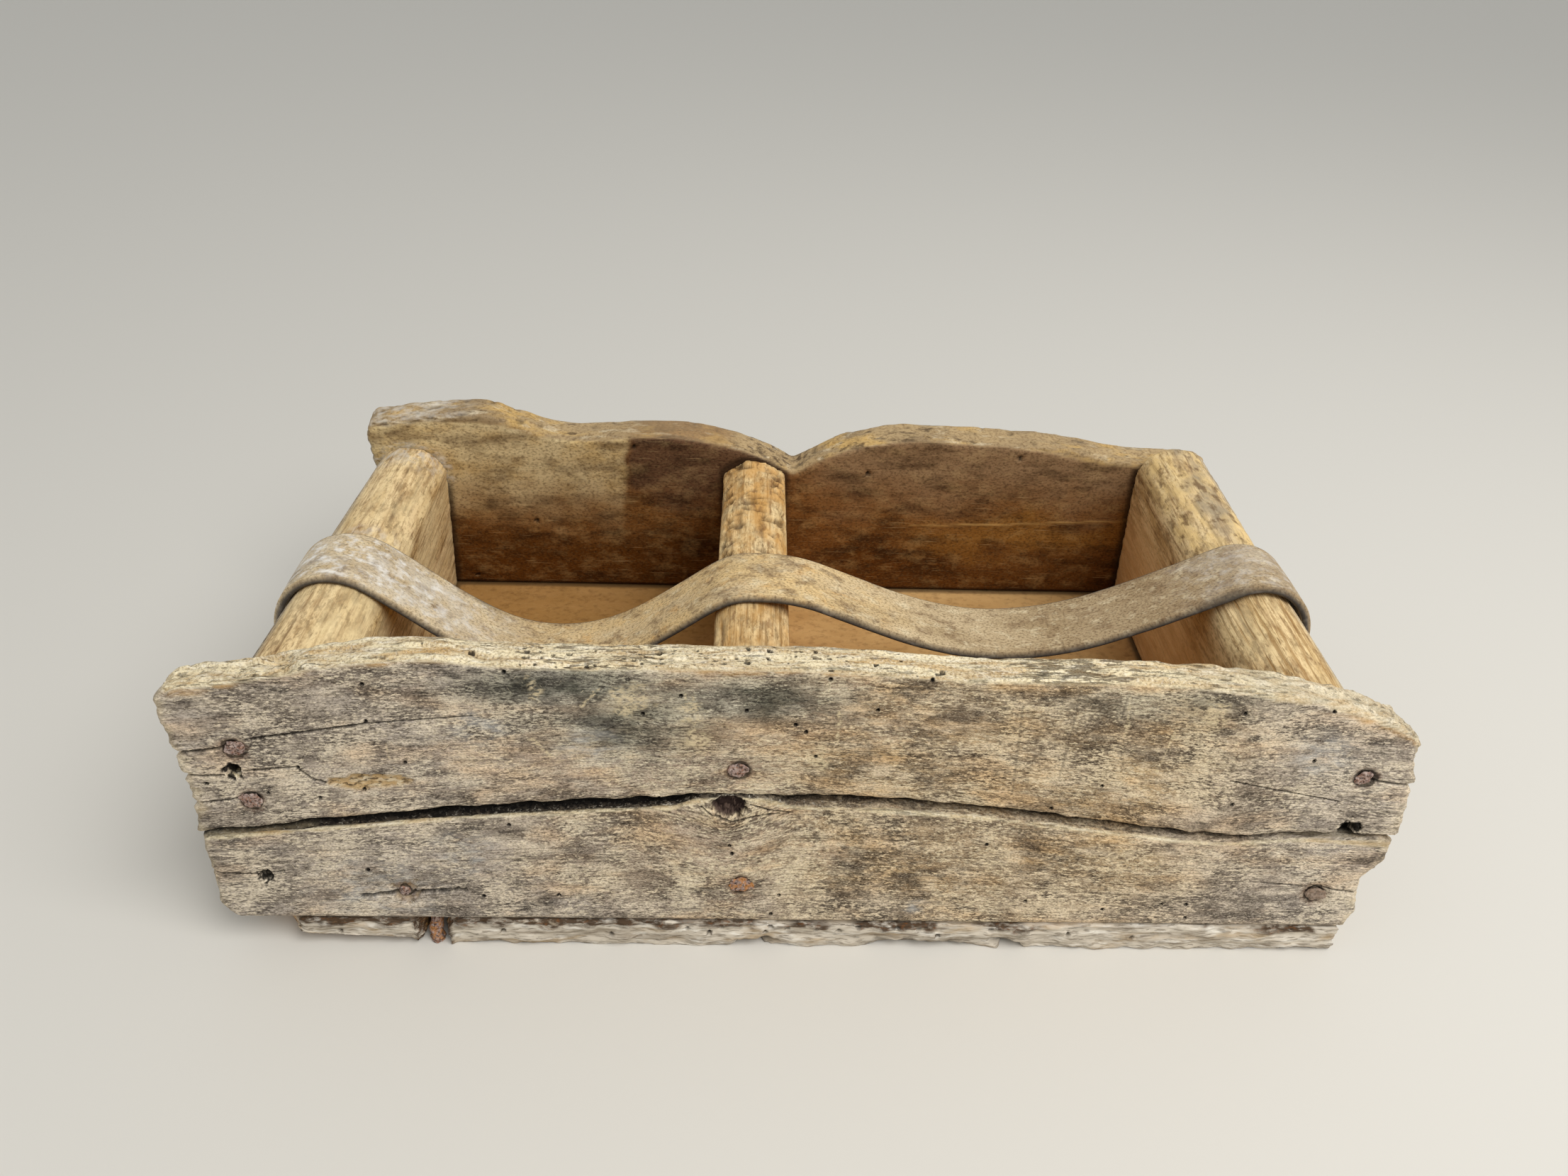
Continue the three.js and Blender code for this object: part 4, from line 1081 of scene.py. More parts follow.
# %% Hand-worn pine
hand_worn_pine = coated("hand_worn_pine", along_grain, "#F0D29E", [
    coat("#EACD96", size=(80, 18, 18), cut=(0.45, 0.62), strength=0.7, detail=3),
    coat("#BC965C", size=(50, 9, 9), cut=(0.47, 0.64), strength=0.7, detail=4),
    coat("#8A6638", size=(40, 1.8, 1.8), cut=(0.53, 0.68), strength=0.6, relief=-0.14, blend="MULTIPLY"),
    coat("#806238", size=(3.0, 1.2, 1.2), cut=(0.5, 0.68), strength=0.5, relief=-0.08, detail=3,
         blend="MULTIPLY"),
    coat("#7C6A46", size=(5.0, 1.0, 1.0), cut=(0.5, 0.68), strength=0.5, relief=0.06, detail=3,
         blend="SCREEN"),
    coat("#8E7046", size=(9, 1.3, 1.3), cut=(0.62, 0.69), strength=0.7, relief=-0.2, detail=3),
    coat("#8E6C40", size=(16, 7, 7), cut=(0.49, 0.66), strength=0.6, detail=6, blend="MULTIPLY"),
    coat("#6E5230", size=(5, 2.4, 2.4), cut=(0.57, 0.66), strength=0.45, relief=-0.08, detail=5, spread=30),
    coat("#F0D8A4", where="wear", size=(36, 14, 14), cut=(0.42, 0.64), strength=0.6, detail=4),
    coat("#9C7440", where="streak", size=(30, 1.6, 1.6), cut=(0.5, 0.62), strength=0.65, relief=-0.2,
         detail=3),
    coat("#EAC888", where="scrape", size=(18, 9, 9), cut=(0.46, 0.58), strength=0.8, detail=5),
    coat("#988870", where="grey", size=(26, 16, 16), cut=(0.38, 0.58), strength=0.85, detail=5),
    coat("#6A4E2E", where="scrape", size=(8.0, 5.0, 5.0), cut=(0.51, 0.63), strength=0.75, relief=-0.15,
         detail=5),
    coat("#D49C50", where="orange", size=(20, 12, 12), cut=(0.4, 0.6), strength=0.65, detail=5),
    coat("#754C26", where="orange", size=(9, 4, 4), cut=(0.55, 0.65), strength=0.65, relief=-0.15,
         detail=5),
    # painted light: lower inner faces painted lighter, against the shade that falls there
    coat("#E0B47C", where="inside", strength=0.7),
    coat("#3A2612", where="joint", strength=0.7),
    coat("#BAA486", where="outside", strength=0.95),
    *weathering("outside", force=0.4),
    coat("#E2DCD0", where="dust", size=(6, 5, 5), cut=(0.44, 0.62), strength=0.6, detail=4),
    # painted shade: dark in the open grain lines and in the divider's gouges and seams
    coat("#3E2812", where="hollow", strength=0.85),
], roughness=0.72)
print(hand_worn_pine.name)

# %% Ends and divider
END_SKIN = 1.2
CROSS_NEIGHBOURS = ("front_board_upper", "front_board_lower", "back_board", "bottom_board")
GREY_BAND = 203                          # the grey facet of the right end, along the box
HANDLE_HEIGHT = 26                       # the part below the top that hands have rubbed
HANDLE_RUBS = 6
PLANE_MARKS = 0.7                        # relief of the top, of the grain lines and of the scraped patches
GRAIN_LINES = 0.3
SCRAPES = 0.5
GOUGE_DEPTH = 3.4                        # the divider's top: gouges across it, seams along it, its rough skin
SEAM_DEPTH = 1.6
GOUGED_SKIN = 0.5
CROSS_JOINT_REACH = 5


def measure_cross(piece, middle):
    """Where each point of a cross board lies, how uneven it is there, and how far it faces up, in and out.

    Middle is 1 or -1, the way along X to the box's middle, or 0 for the divider, which has no outside."""
    at, out = places(piece), normals(piece)
    end_grain = abs(middle) * ease(0.5, 0.9, np.abs(out[:, 1]))
    return SimpleNamespace(
        at=at, out=out, top=ease(0.15, 0.8, out[:, 2]), ragged=rough(at, (9, 20, 9), shift=1),
        inside=ease(0.3, 0.8, out[:, 0] * middle) if middle else ease(0.5, 0.9, np.abs(out[:, 0])),
        outside=np.maximum(ease(0.5, 0.9, -out[:, 0] * middle), end_grain),
    )


def scrape_top(skin, marks, scrape_from):
    """Scraped patches behind the strap, with a grey facet. Gives the moves outward."""
    behind = ease(scrape_from - 10, scrape_from + 10, skin.at[:, 1] + 8 * skin.ragged)
    scrape = behind * ease(0.2, 0.6, skin.out[:, 2])
    marks["scrape"] = scrape
    marks["grey"] = scrape * ease(10, 3, np.abs(skin.at[:, 0] - GREY_BAND + 4 * skin.ragged))
    marks["wear"] = marks["wear"] * (1 - 0.6 * scrape)
    strengthen(marks, "streak", skin.top * (1 - behind))
    return SCRAPES * scrape * rough(skin.at, (6, 9, 6), shift=8)


def gouge_top(skin, marks):
    """Gouges across the back part of the divider's top, and seams along the rest. Gives the moves outward."""
    back_part = ease(-8, 22, skin.at[:, 1] + 12 * skin.ragged) * skin.top
    patches = rough(skin.at, (16, 24, 14), shift=24)
    torn = np.clip(rough(skin.at, (9, 4.2, 7), 5, shift=23) + 0.5 * patches - 0.02, 0, 1) * back_part
    seams = np.clip(rough(skin.at, (2.6, 34, 9), 4, shift=27) - 0.25, 0, 1) * (1 - 0.7 * back_part)
    marks["orange"] = 0.75 + 0.25 * back_part
    marks["wear"] = 0.5 * marks["wear"]
    # painted shade in the gouges and seams
    strengthen(marks, "hollow", np.clip(2.6 * (torn - 0.12) + 1.4 * seams, 0, 0.8))
    strengthen(marks, "streak", 0.9 * skin.top * (1 - back_part))
    roughened = GOUGED_SKIN * back_part * rough(skin.at, (4, 4, 4), shift=35)
    return roughened - GOUGE_DEPTH * torn - SEAM_DEPTH * seams


def dust_top_and_light_inner_face(skin, marks):
    """Dust by the back board and by the strap, and painted light on the inner face, which is painted as pale
    as the top.
    """
    deep = skin.at[:, 1]
    marks["dust"] = skin.top * np.maximum(ease(70, 98, deep), 0.5 * ease(14, 5, np.abs(deep - 8)))
    # painted light: the inner face gets the top's pale colour in place of the inside colour
    strengthen(marks, "wear", skin.inside)
    marks["inside"] = np.zeros(len(deep))


def carve_cross_board(name, solid, middle, scrape_from=None, gouged=False, dusty_and_lit_inner_face=False):
    """An end board or the divider, from its solid, with the grain along the box's depth."""
    piece = skinned_copy(name, solid, END_SKIN)
    height = places(piece)[:, 2]
    rub(piece, height > height.max() - HANDLE_HEIGHT, HANDLE_RUBS)

    skin = measure_cross(piece, middle)
    lines = rough(skin.at, (3.2, 46, 3.2), shift=11)
    step = PLANE_MARKS * rough(skin.at, (9, 110, 9), shift=5) * skin.top + GRAIN_LINES * lines
    marks = {
        "grain": skin.at[:, [1, 0, 2]] * MM,
        "outside": skin.outside,
        # painted light: the inner faces are painted lighter low down
        "inside": skin.inside * ease(100, 60, skin.at[:, 2]),
        "streak": 0.35 * skin.top,
        "wear": skin.top * np.clip(0.75 + 0.5 * skin.ragged, 0, 1),
        # painted shade in the open grain lines
        "hollow": np.clip(1.6 * (-lines - 0.45), 0, 0.45) * (0.4 + 0.6 * skin.top),
    }
    if scrape_from is not None:
        step += scrape_top(skin, marks, scrape_from)
    if gouged:
        step += gouge_top(skin, marks)
    if dusty_and_lit_inner_face:
        dust_top_and_light_inner_face(skin, marks)
    reshape(piece, skin.at + step[:, None] * skin.out)
    dirt = ease(0.4, 0.95, nearness(piece, CROSS_NEIGHBOURS, CROSS_JOINT_REACH))
    marks["joint"] = dirt * ease(96, 70, skin.at[:, 2])
    paint(piece, **marks)
    finish_piece(piece, [solid], hand_worn_pine)


carve_cross_board("old_left_end", "left_end_board", middle=1, dusty_and_lit_inner_face=True)
carve_cross_board("old_right_end", "right_end_board", middle=-1, scrape_from=8)
carve_cross_board("old_divider", "divider_board", middle=0, gouged=True)

# %% [markdown]
# ## The worm-eaten bottom board
#
# A thin board nailed on from below. Inside the box it is a dusty tan floor. Along the front its edge shows
# under the front board: whitish, ragged, bored by worms, chipped along its lower corner, with brown crumbs
# in the joint.

# %% Dusty pine
dusty_pine = coated("dusty_pine", along_grain, "#A97E46", [
    # painted light: the right part of the bottom board is painted brighter, where light falls into the right
    # section
    coat("#D8AE72", where="bright", strength=0.85),
    coat("#C0925A", size=(50, 24, 10), cut=(0.45, 0.65), strength=0.5, detail=4),
    coat("#A0743C", size=(60, 30, 10), cut=(0.48, 0.66), strength=0.4, detail=4),
    coat("#7A5C38", size=(4, 3, 3), cut=(0.5, 0.7), strength=0.35, relief=-0.08, detail=4,
         blend="MULTIPLY"),
    coat("#6E5A3A", size=(2.4, 2, 2), cut=(0.52, 0.7), strength=0.35, detail=4, blend="SCREEN"),
    coat("#2E1E10", where="joint", strength=0.8),
    coat("#D2C6B3", where="wear", strength=1.0),
    coat("#8C7E6C", where="wear", size=(24, 4, 3), cut=(0.47, 0.64), strength=0.6, relief=-0.2, detail=5,
         blend="MULTIPLY"),
    coat("#F2EBDD", where="wear", size=(12, 3, 2.4), cut=(0.52, 0.66), strength=0.7, relief=0.1, detail=5),
    coat("#6A5A48", where="wear", size=(5.0, 1.6, 0.7), cut=(0.53, 0.63), strength=0.6, relief=-0.2,
         detail=4),
    coat("#B0946C", where="wear", size=(24, 6, 6), cut=(0.54, 0.66), strength=0.6, detail=4),
    coat("#46321F", where="crumbs", size=(5, 2.5, 2.2), cut=(0.34, 0.52), strength=0.95, relief=0.3,
         detail=5),
    coat("#7A4E2A", where="crumbs", size=(2.2, 1.6, 1.2), cut=(0.56, 0.66), strength=0.7, detail=4),
    # painted shade: dark in the worm holes and the deeper chips of the front edge
    coat("#1E150D", where="hollow", strength=0.95),
], roughness=0.85)
print(dusty_pine.name)

# %% Bottom board
BOTTOM_SKIN = 1.9
FRONT_EDGE = -130
EDGE_WORM_HOLES = [
    (-76, 7), (-45, 10), (-36, 8), (-31, 11), (-13, 9), (-11, 12), (-4, 11), (8, 10), (17, 10), (25, 12),
    (41, 12), (50, 11), (58, 8), (80, 11), (112, 9), (139, 7), (-120, 8), (-186, 7),
]
EDGE_WORM_DEPTH = 3.0
EDGE_LAYERS = 1.0                        # relief of the front edge: its layers, and bites out of it
EDGE_BITES = 1.2
EDGE_LOSS = 0.6                          # what wear took off the front edge all along
FLOOR_WAVES = 0.2
NOTCH_CRUMBS = 1.6
WEDGE = [(-213, 13), (-206, 8), (-190, 5.5), (-158, 4), (-154, 0)]     # x and rise of the broken left end
EDGE_CHIPS = [(-19, 22, 4.5), (52, 60, 2.0), (88, 14, 4.5)]    # middle, length and depth, at the lower corner
FLOOR_NEIGHBOURS = ("back_board", "divider_board", "right_end_board", "left_end_board")
notch_low, notch_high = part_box("bottom_nail_front_left")
notch_x = (notch_low + notch_high)[0] / 2 / MM       # the broken notch, where a nail stands bare


def by_front_edge(at):
    """1 at the bottom board's front edge, 0 a few millimetres behind it."""
    return ease(FRONT_EDGE + 7, FRONT_EDGE + 2, at[:, 1])


def wear_bottom(at, out, marks):
    """The ragged front edge with its worm holes, chips, broken end and notch. Gives the new places."""
    edge = by_front_edge(at)
    layers = rough(at, (34, 3, 2.2), shift=3)
    bites = rough(at, (10, 6, 6), shift=6)
    from_sides = np.abs(at[:, :2]).max(axis=0) - np.abs(at[:, :2])
    rim = ease(5, 1, from_sides.min(axis=1)) * (1 - edge)
    holes = ease(1.2, 0.7, spot_distance(at[:, [0, 2]], EDGE_WORM_HOLES)) * (out[:, 1] < -0.5)
    step = FLOOR_WAVES * rough(at, (60, 9, 9)) + rim * (0.6 * bites - 0.2)
    step += edge * (EDGE_LAYERS * layers + EDGE_BITES * bites - EDGE_LOSS) - EDGE_WORM_DEPTH * holes
    moved = at + step[:, None] * out

    chips = np.zeros(len(at))
    for middle, length, depth in EDGE_CHIPS:
        from_chip = np.abs(at[:, 0] - middle) + 5 * bites
        chips = np.maximum(chips, depth * ease(length / 2, length / 5, from_chip))
    chips *= ease(5.5, 1.5, at[:, 2] + 1.5 * bites) * ease(FRONT_EDGE + 6, FRONT_EDGE + 1, at[:, 1])
    moved[:, 1] += chips
    wedge = np.interp(at[:, 0] + 3 * bites, *zip(*WEDGE)) * ease(FRONT_EDGE + 14, FRONT_EDGE + 9, at[:, 1])
    moved[:, 2] = np.maximum(moved[:, 2], wedge + wedge.clip(0, 1) * bites)
    notch = ease(13, 10, np.abs(at[:, 0] - notch_x)) * ease(FRONT_EDGE + 22, FRONT_EDGE + 18, at[:, 1])
    notch *= ease(0.3, 0.7, np.maximum(np.abs(out[:, 0]), -out[:, 1] * (at[:, 1] > FRONT_EDGE + 8)))
    moved[:, :2] += (NOTCH_CRUMBS * notch * (1 + rough(at, (5, 5, 5), shift=14)))[:, None] * out[:, :2]

    littered = np.maximum(ease(-20, -60, at[:, 0]), ease(0.0, 0.25, rough(at, (24, 24, 24), shift=43)))
    crumbs = ease(10.2, 12.4, at[:, 2] + 2.2 * bites) * edge * littered
    # the worm holes and the deeper chips get painted shade
    marks.update(wear=np.maximum(edge, 0.75 * rim), hollow=np.maximum(holes, np.clip(0.16 * chips, 0, 0.7)),
                 # painted light: the right part of the board is painted brighter
                 crumbs=np.maximum(crumbs, notch), bright=ease(-40, 0, at[:, 0] + 12 * bites))
    return moved


def carve_bottom():
    """The bottom board, from its solid."""
    piece = skinned_copy("old_bottom_board", "bottom_board", BOTTOM_SKIN)
    cut_finer(piece, places(piece)[:, 1] < FRONT_EDGE + 7, 1)
    at = places(piece)
    near_hole = spot_distance(at[:, [0, 2]], EDGE_WORM_HOLES) < 2.0
    cut_finer(piece, near_hole & (at[:, 1] < FRONT_EDGE + 1), 1)

    at, out = places(piece), normals(piece)
    marks = {"grain": at * MM}
    reshape(piece, wear_bottom(at, out, marks))
    dirt = ease(0.35, 0.9, nearness(piece, FLOOR_NEIGHBOURS, JOINT_REACH))
    marks["joint"] = dirt * ease(0.5, 0.9, out[:, 2]) * (1 - by_front_edge(at))
    paint(piece, **marks)
    finish_piece(piece, ["bottom_board"], dusty_pine)


carve_bottom()

# %% [markdown]
# ## The leather strap
#
# One length of thick harness leather, tacked to the outside of both ends, sagging in each section and lying
# over the divider, where the hand takes it. Its route is made of bends between known points, in the plane
# along the box. The section is flat with rounded edges. A grid is laid along the route like a strip of
# paper round a tube, its long edges are merged, and its ends are closed. It is made in three lengths,
# because the middle lifts.

# %% The strap's route
STRAP_WIDTH = 36
STRAP_THICKNESS = 3.6
STRAP_Y = -14
STRAP_EDGE_ROUND = 1.5
TENSION = 0.36                           # length of a bend's handle as a share of its reach
LEFT_CROWN = (-201.5, 88.4, 24.5)        # the round top that the strap wraps: middle x, z and radius
RIGHT_CROWN = (201.5, 93.1, 22.9)
LEFT_TAIL = (-228.3, 52)
RIGHT_TAIL = (227.5, 52)
LEFT_WRAP = (54, 36)                     # degrees from upright: where it lands outside, and leaves inside
RIGHT_WRAP = (36, 28)
LEFT_DIP = (-111.1, 64.3)
RIGHT_DIP = (90.4, 77.3)
CREST = (-20.7, 106.3)
GRIP_LEFT = (-50.7, 91.3, 36)            # x, z and the slope there in degrees
GRIP_RIGHT = (9.3, 101.3, -22)
END_LEAN = 5
STEP_LENGTH = 1.5


def heading(angle):
    """The direction at an angle in degrees above level, in the plane along the box."""
    return np.array((math.cos(math.radians(angle)), math.sin(math.radians(angle))))


def bend(start, start_angle, stop, stop_angle, count=40):
    """Points of a bend that leaves one point and reaches another at given angles."""
    start, stop = np.array(start[:2], float), np.array(stop[:2], float)
    handle = TENSION * np.linalg.norm(stop - start)
    leave = start + handle * heading(start_angle)
    reach = stop - handle * heading(stop_angle)
    t = np.linspace(0, 1, count)[:, None]
    return (1 - t) ** 3 * start + 3 * t * (1 - t) ** 2 * leave + 3 * t ** 2 * (1 - t) * reach + t ** 3 * stop


def over_crown(crown, first, last, count=30):
    """Points over a round top, by their angle from upright, counted to the right."""
    angle = np.radians(np.linspace(first, last, count))
    return np.stack([crown[0] + crown[2] * np.sin(angle), crown[1] + crown[2] * np.cos(angle)], axis=1)


left_wrap = over_crown(LEFT_CROWN, -LEFT_WRAP[0], LEFT_WRAP[1])
right_wrap = over_crown(RIGHT_CROWN, -RIGHT_WRAP[1], RIGHT_WRAP[0])
route = np.concatenate([
    bend(LEFT_TAIL, 90 - END_LEAN, left_wrap[0], LEFT_WRAP[0]),
    left_wrap[1:],
    bend(left_wrap[-1], -LEFT_WRAP[1], LEFT_DIP, 0)[1:],
    bend(LEFT_DIP, 0, GRIP_LEFT, GRIP_LEFT[2])[1:],
    bend(GRIP_LEFT, GRIP_LEFT[2], CREST, 0)[1:],
    bend(CREST, 0, GRIP_RIGHT, GRIP_RIGHT[2])[1:],
    bend(GRIP_RIGHT, GRIP_RIGHT[2], RIGHT_DIP, 0)[1:],
    bend(RIGHT_DIP, 0, right_wrap[0], RIGHT_WRAP[1])[1:],
    right_wrap[1:],
    bend(right_wrap[-1], -RIGHT_WRAP[0], RIGHT_TAIL, -90 + END_LEAN)[1:],
])
travelled = np.concatenate([[0], np.cumsum(np.linalg.norm(np.diff(route, axis=0), axis=1))])
grip_start, grip_stop = (travelled[np.argmin(np.linalg.norm(route - np.array(p[:2]), axis=1))]
                         for p in (GRIP_LEFT, GRIP_RIGHT))
print("strap length in mm:", round(travelled[-1]), "grip from", round(grip_start), "to", round(grip_stop))

# %% [markdown]
# ### Dry harness leather
#
# Cowhide, tanned with bark and once oiled, now dry: speckled grey-brown, warmer where the hand takes it,
# with a white dusty bloom over the left end and cut edges that are rubbed dark. Its pores make a dull
# sheen. They are drawn about a millimetre wide, coarser than real ones, so that they show.

# %% Harness leather
def along_strap(tree):
    """Where a point lies on the strap: its UV map holds the distance along and across, in metres."""
    return node(tree, "ShaderNodeUVMap", uv_map="strap").outputs[0]


harness_leather = coated("dry_harness_leather", along_strap, "#D6BE96", [
    coat("#AC936C", size=(34, 16, 14), cut=(0.44, 0.64), strength=0.75, detail=5),
    coat("#E4C288", where="warm", size=(30, 16, 16), cut=(0.32, 0.62), strength=0.85, detail=5),
    coat("#CE9A52", where="warm", size=(10, 6, 5), cut=(0.54, 0.68), strength=0.5, detail=5),
    coat("#947A58", where="brown", strength=0.65),
    coat("#84694A", size=(9, 6, 6), cut=(0.5, 0.66), strength=0.75, detail=6),
    coat("#E8D6B0", size=(7, 5, 5), cut=(0.53, 0.68), strength=0.6, detail=6),
    coat("#786850", size=(1.3, 1.0, 1), cut=(0.46, 0.66), strength=0.65, relief=-0.06, detail=3,
         blend="MULTIPLY"),
    coat("#8A7858", size=(1.1, 0.9, 1), cut=(0.48, 0.68), strength=0.4, detail=3, blend="SCREEN"),
    coat("#E6D4B0", size=(9, 0.7, 1), cut=(0.68, 0.74), strength=0.5, detail=1),
    coat("#D6D0C4", where="dust", size=(20, 14, 12), cut=(0.4, 0.66), strength=0.6, detail=5),
    coat("#F4F0E8", where="dust", size=(6, 4.5, 1), cut=(0.48, 0.66), strength=0.8, relief=0.03, detail=6),
    coat("#3F3B38", where="edge", strength=0.95),
    coat("#8C8378", where="edge", size=(9, 2, 2), cut=(0.54, 0.66), strength=0.4),
], roughness=0.66)
print(harness_leather.name)

# %% Three lengths of strap
STRAP_WAVE = 0.5                         # how far it wanders sideways
STRAP_SWELL = 0.3                        # how much each side swells in the middle
STRAP_UNEVEN = 0.014                     # share by which its width changes
SMOOTH_UP_TO = math.radians(50)


def strap_section():
    """The strap's section as (across, up) points round its edge, in millimetres."""
    flat = STRAP_WIDTH / 2 - STRAP_EDGE_ROUND
    side = STRAP_THICKNESS / 2 - STRAP_EDGE_ROUND
    top = [(x, STRAP_THICKNESS / 2) for x in np.linspace(-flat, flat, 13)]
    turn = np.radians(np.linspace(90, 0, 5)[1:])
    corner = [(flat + STRAP_EDGE_ROUND * math.cos(a), side + STRAP_EDGE_ROUND * math.sin(a)) for a in turn]
    half = top + corner
    whole = half + [(-x, -z) for x, z in half]
    return np.array(whole + whole[:1])


def on_route(distance):
    """Places in the plane along the box, by the distance travelled along the strap's route."""
    return np.stack([np.interp(distance, travelled, route[:, i]) for i in (0, 1)], axis=1)


def lay_strap(piece, section, first, last):
    """Lays a flat grid along the route and round the section, and writes its UV map in metres."""
    flat = places(piece) * MM + 0.5
    distance = first + flat[:, 0] * (last - first)
    across, up = section[np.rint(flat[:, 1] * (len(section) - 1)).astype(int)].T
    middle = on_route(distance)
    along = on_route(distance + 1) - on_route(distance - 1)
    along /= np.linalg.norm(along, axis=1)[:, None]
    lengthwise = np.stack([distance, across * 0, across * 0], axis=1)
    wave = STRAP_WAVE * rough(lengthwise, (60, 1, 1), shift=2)
    up = up + STRAP_SWELL * (1 - (across / (STRAP_WIDTH / 2)) ** 2) * np.sign(up)
    across = across * (1 + STRAP_UNEVEN * rough(lengthwise, (34, 1, 1), shift=6))
    uv = piece.data.uv_layers.active
    uv.name = "strap"
    corners = np.empty(len(piece.data.loops), np.int32)
    piece.data.loops.foreach_get("vertex_index", corners)
    uv_places = np.stack([distance, across], axis=1)[corners] * MM
    uv.data.foreach_set("uv", uv_places.astype(np.float32).ravel())
    reshape(piece, np.stack([
        middle[:, 0] - along[:, 1] * up,
        STRAP_Y + across + wave,
        middle[:, 1] + along[:, 0] * up,
    ], axis=1))


def close_strap():
    """Merges the long edges of the active piece, closes its ends and turns its faces outwards."""
    bpy.ops.object.mode_set(mode="EDIT")
    bpy.ops.mesh.select_all(action="SELECT")
    bpy.ops.mesh.remove_doubles(threshold=MERGE_DISTANCE)
    bpy.ops.mesh.fill_holes(sides=0)
    bpy.ops.mesh.select_all(action="SELECT")
    bpy.ops.mesh.normals_make_consistent(inside=False)
    bpy.ops.object.mode_set(mode="OBJECT")


def paint_strap(piece):
    """Dark cut edges, a dusty bloom by the ends, and a warm and a brown stretch."""
    at = places(piece)
    half = STRAP_WIDTH / 2
    from_middle = np.abs(at[:, 1] - STRAP_Y)
    edge = ease(half - 1.5, half - 1.0, from_middle)
    dust = np.maximum(ease(-115, -185, at[:, 0]), 0.35 * ease(160, 190, at[:, 0]))
    dust *= ease(half, half - 5, from_middle + 4 * rough(at, (9, 9, 9)))
    warm = ease(-150, -90, at[:, 0]) * ease(70, 10, at[:, 0])
    paint(piece, edge=edge, dust=dust, warm=warm, brown=ease(30, 150, at[:, 0]))


def cut_strap(name, solid, first, last):
    """One length of the strap, between two distances along its route."""
    section = strap_section()
    steps = round((last - first) / STEP_LENGTH)
    bpy.ops.object.select_all(action="DESELECT")
    bpy.ops.mesh.primitive_grid_add(x_subdivisions=steps, y_subdivisions=len(section) - 1, size=1)
    piece = bpy.context.object
    piece.name = name
    lay_strap(piece, section, first, last)
    close_strap()
    paint_strap(piece)
    piece.data.materials.append(harness_leather)
    only(piece)
    bpy.ops.object.shade_smooth_by_angle(angle=SMOOTH_UP_TO)
    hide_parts(solid)
    print(name, "mm:", round(last - first), "points:", len(piece.data.vertices))
    return piece


left_span = cut_strap("leather_left_span", "strap_left_span", 0, grip_start)
grip = cut_strap("leather_grip", "strap_grip", grip_start, grip_stop)
right_span = cut_strap("leather_right_span", "strap_right_span", grip_stop, travelled[-1])
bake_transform(left_span)
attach(grip, "grip")
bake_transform(right_span)

# %% [markdown]
# ## Rusted nails
#
# Hand-forged nails, with heads beaten flat by the hammer and eaten by rust until no two are alike. One nail
# of each kind is modelled from a cylinder: the underside is inset and drawn out to a shank, the top is
# inset and raised. Each copy then gets its own mesh, its own width and its own dents.

# %% Rusted iron
def in_space(tree):
    """Where a point lies, by the object's own coordinates."""
    return node(tree, "ShaderNodeTexCoord").outputs["Object"]


rusted_iron = coated("rusted_iron", in_space, "#9C867C", [
    coat("#BEACA2", size=(2.2, 2.2, 2.2), cut=(0.5, 0.62), strength=0.8, detail=4),
    coat("#8A5C44", size=(1.3, 1.3, 1.3), cut=(0.5, 0.62), strength=0.7, relief=0.12, detail=3),
    coat("#3A2B25", size=(1.0, 1.0, 1.0), cut=(0.52, 0.62), strength=0.9, relief=-0.25, detail=3),
    coat("#D2C0B4", size=(0.7, 0.7, 0.7), cut=(0.6, 0.68), strength=0.7, relief=0.1),
    coat("#C0813E", where="orange", size=(1.8, 1.8, 1.8), cut=(0.42, 0.58), strength=0.8, detail=3),
    coat("#8E7C68", where="dull", strength=0.7),
], roughness=0.85)
RUST_METALLIC = 0.15                     # rust is hardly metal any more
rusted_iron.node_tree.nodes["Principled BSDF"].inputs["Metallic"].default_value = RUST_METALLIC
print(rusted_iron.name)

# %% Nails: a pattern of each kind
NAIL_KINDS = {                           # head radius, head thickness, shank radius, length
    "front_nail": (3.6, 0.9, 1.6, 40), "back_nail": (3.6, 1.5, 1.6, 40), "bottom_nail": (3.2, 0.8, 1.5, 38),
    "strap_tack": (4.2, 1.3, 1.3, 17), "front_broad": (2.4, 0.6, 1.1, 12),
}
HEAD_SIDES = 14
HEAD_RISES = (0.15, 0.05)                # the head's top rises in two rings
RING_WIDTH = 0.35                        # of a ring, as a share of the head's radius
SHANK_STEPS = (0.15, 0.15, 0.3, 0.3, 0.1)    # shares of the length, the last one is the point
POINT_SIZE = 0.25                        # as a share of the shank
EDGE_ROUND = 0.25


def pick_face(piece, side):
    """Selects the highest level face of a piece in edit mode, or with side -1 the lowest."""
    bpy.ops.mesh.select_all(action="DESELECT")
    bpy.ops.object.mode_set(mode="OBJECT")
    level = [face for face in piece.data.polygons if face.normal.z * side > 0.99]
    max(level, key=lambda face: face.center.z * side).select = True
    bpy.ops.object.mode_set(mode="EDIT")


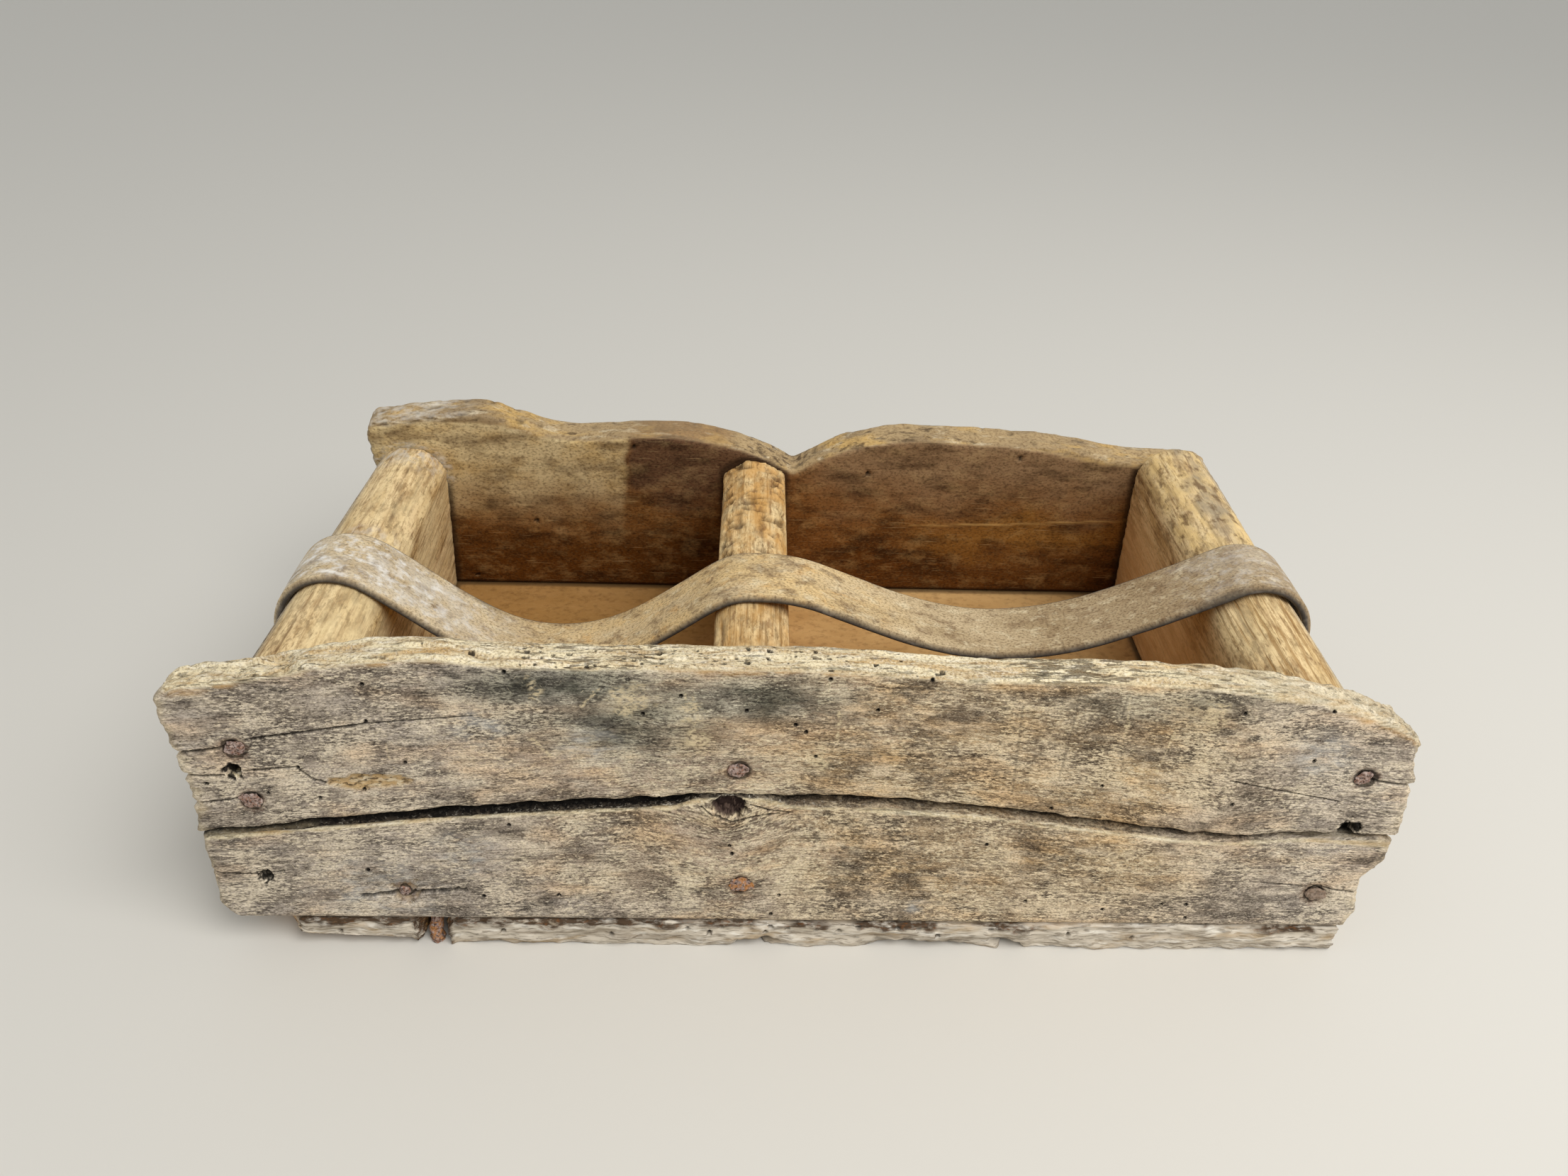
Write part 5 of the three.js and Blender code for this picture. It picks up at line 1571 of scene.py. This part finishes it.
def forged_nail(name, head, thickness, shank, length):
    """A nail with its head on z = 0, pointing down."""
    bpy.ops.object.select_all(action="DESELECT")
    bpy.ops.mesh.primitive_cylinder_add(vertices=HEAD_SIDES, radius=head * MM, depth=thickness * MM,
                                        location=(0, 0, thickness * MM / 2))
    nail = bpy.context.object
    nail.name = name
    bpy.ops.object.transform_apply(location=True, rotation=False, scale=False)
    bpy.ops.object.mode_set(mode="EDIT")
    bpy.ops.mesh.select_mode(type="FACE")
    for rise in HEAD_RISES:
        pick_face(nail, 1)
        bpy.ops.mesh.inset(thickness=RING_WIDTH * head * MM, depth=rise * MM)
    pick_face(nail, -1)
    bpy.ops.mesh.inset(thickness=(head - shank) * MM)
    for share in SHANK_STEPS:
        bpy.ops.mesh.extrude_region_move(TRANSFORM_OT_translate={"value": (0, 0, -share * length * MM)})
    bpy.ops.transform.resize(value=(POINT_SIZE, POINT_SIZE, 1))
    bpy.ops.object.mode_set(mode="OBJECT")
    bevel = nail.modifiers.new("worn edges", "BEVEL")
    bevel.width = EDGE_ROUND * MM
    bevel.limit_method = "ANGLE"
    bpy.ops.object.modifier_apply(modifier=bevel.name)
    rounding = nail.modifiers.new("rounding", "SUBSURF")
    rounding.levels = rounding.render_levels = 2
    bpy.ops.object.modifier_apply(modifier=rounding.name)
    return nail


patterns = {prefix: forged_nail("pattern_" + prefix, *sizes) for prefix, sizes in NAIL_KINDS.items()}
print("patterns:", list(patterns))

# %% Nails: one for each solid
BARE_NAIL = "bottom_nail_front_left"     # stands in the broken notch, swollen by rust
BARE_LENGTH = 13
BARE_SWELL = (0.9, 0.6)                  # share by which it is thicker, and by which that changes
BARE_BOW = 7                             # its lower end is bent out, towards the front
ORANGE_NAILS = (BARE_NAIL, "front_nail_divider_low")
DULL_NAILS = ("front_nail_right_low",)   # dusty, the colour of the wood round it
HEAD_SHAPES = {                          # width, height and turn in degrees of the heads that show most
    "front_nail_left_top": (1.05, 0.92, 20), "front_nail_left_middle": (1.15, 0.95, -15),
    "front_nail_divider_top": (1.08, 0.9, 10), "front_nail_divider_low": (1.35, 0.95, 0),
    "front_nail_right_top": (1.0, 0.75, 30), "front_nail_right_low": (1.35, 0.85, -4),
}
HEAD_TURN = 37                           # degrees from one of the other heads to the next
HEAD_FOOT = -0.5
DENT_DEPTH = 0.4
CRUST_DEPTH = 0.28
RIM_UNEVEN = 0.15                        # share by which a head's radius changes
OWN_NOISE = 40                           # keeps the dents of one nail apart from those of the next


def nail_frame(solid):
    """Place and turn of a nail, from its solid: the long axis, with the broad head at its upper end."""
    at = places(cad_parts[solid])
    middle = at.mean(axis=0)
    axis = np.linalg.svd(at - middle, full_matrices=False)[2][0]
    along = (at - middle) @ axis
    across = np.linalg.norm(at - middle - along[:, None] * axis, axis=1)
    if along[np.argmax(across)] < 0:
        axis, along = -axis, -along
    under_head = along[across > 0.9 * across.max()].min()
    turn = Vector(axis).to_track_quat("Z", "Y").to_matrix().to_4x4()
    return Matrix.Translation(Vector((middle + under_head * axis) * MM)) @ turn


def old_nail(number, solid):
    """A nail in place of its solid: a copy of its kind's pattern, with a head, dents and rust of its own."""
    pattern = next(nail for prefix, nail in patterns.items() if solid.startswith(prefix))
    nail = bpy.data.objects.new("old_" + solid, pattern.data.copy())
    bpy.context.scene.collection.objects.link(nail)
    wide, tall, turn = HEAD_SHAPES.get(solid, (1.0, 1.0, HEAD_TURN * number))
    at = places(nail)
    head = at[:, 2] > HEAD_FOOT
    at[head] *= np.array((wide, tall, 1))
    dents = rough(at + OWN_NOISE * number, (2.6, 2.6, 2.6), shift=number)
    crust = rough(at + OWN_NOISE * number, (0.9, 0.9, 0.9), 2, shift=number)
    at += ((DENT_DEPTH * dents + CRUST_DEPTH * crust) * head)[:, None] * normals(nail)
    at[:, :2] *= (1 + RIM_UNEVEN * dents * head)[:, None]
    if solid == BARE_NAIL:
        bare = ease(-BARE_LENGTH, -BARE_LENGTH + 4, at[:, 2]) * (1 - head)
        at[:, :2] *= (1 + (BARE_SWELL[0] + BARE_SWELL[1] * dents) * bare)[:, None]
    reshape(nail, at)
    paint(nail, orange=np.full(len(at), 0.9 if solid in ORANGE_NAILS else 0.1),
          dull=np.full(len(at), 1.0 if solid in DULL_NAILS else 0.0))
    nail.data.transform(nail_frame(solid) @ Matrix.Rotation(math.radians(turn), 4, "Z"))
    if solid == BARE_NAIL:
        at = places(nail)
        at[:, 1] -= BARE_BOW * ease(BARE_LENGTH + 2, 2, at[:, 2])
        reshape(nail, at)
    finish_piece(nail, [solid], rusted_iron)


nail_solids = [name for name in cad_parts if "nail" in name or "tack" in name]
for number, solid in enumerate(nail_solids):
    old_nail(number, solid)
for pattern in patterns.values():
    bpy.data.objects.remove(pattern)
print("nails and tacks:", len(nail_solids))
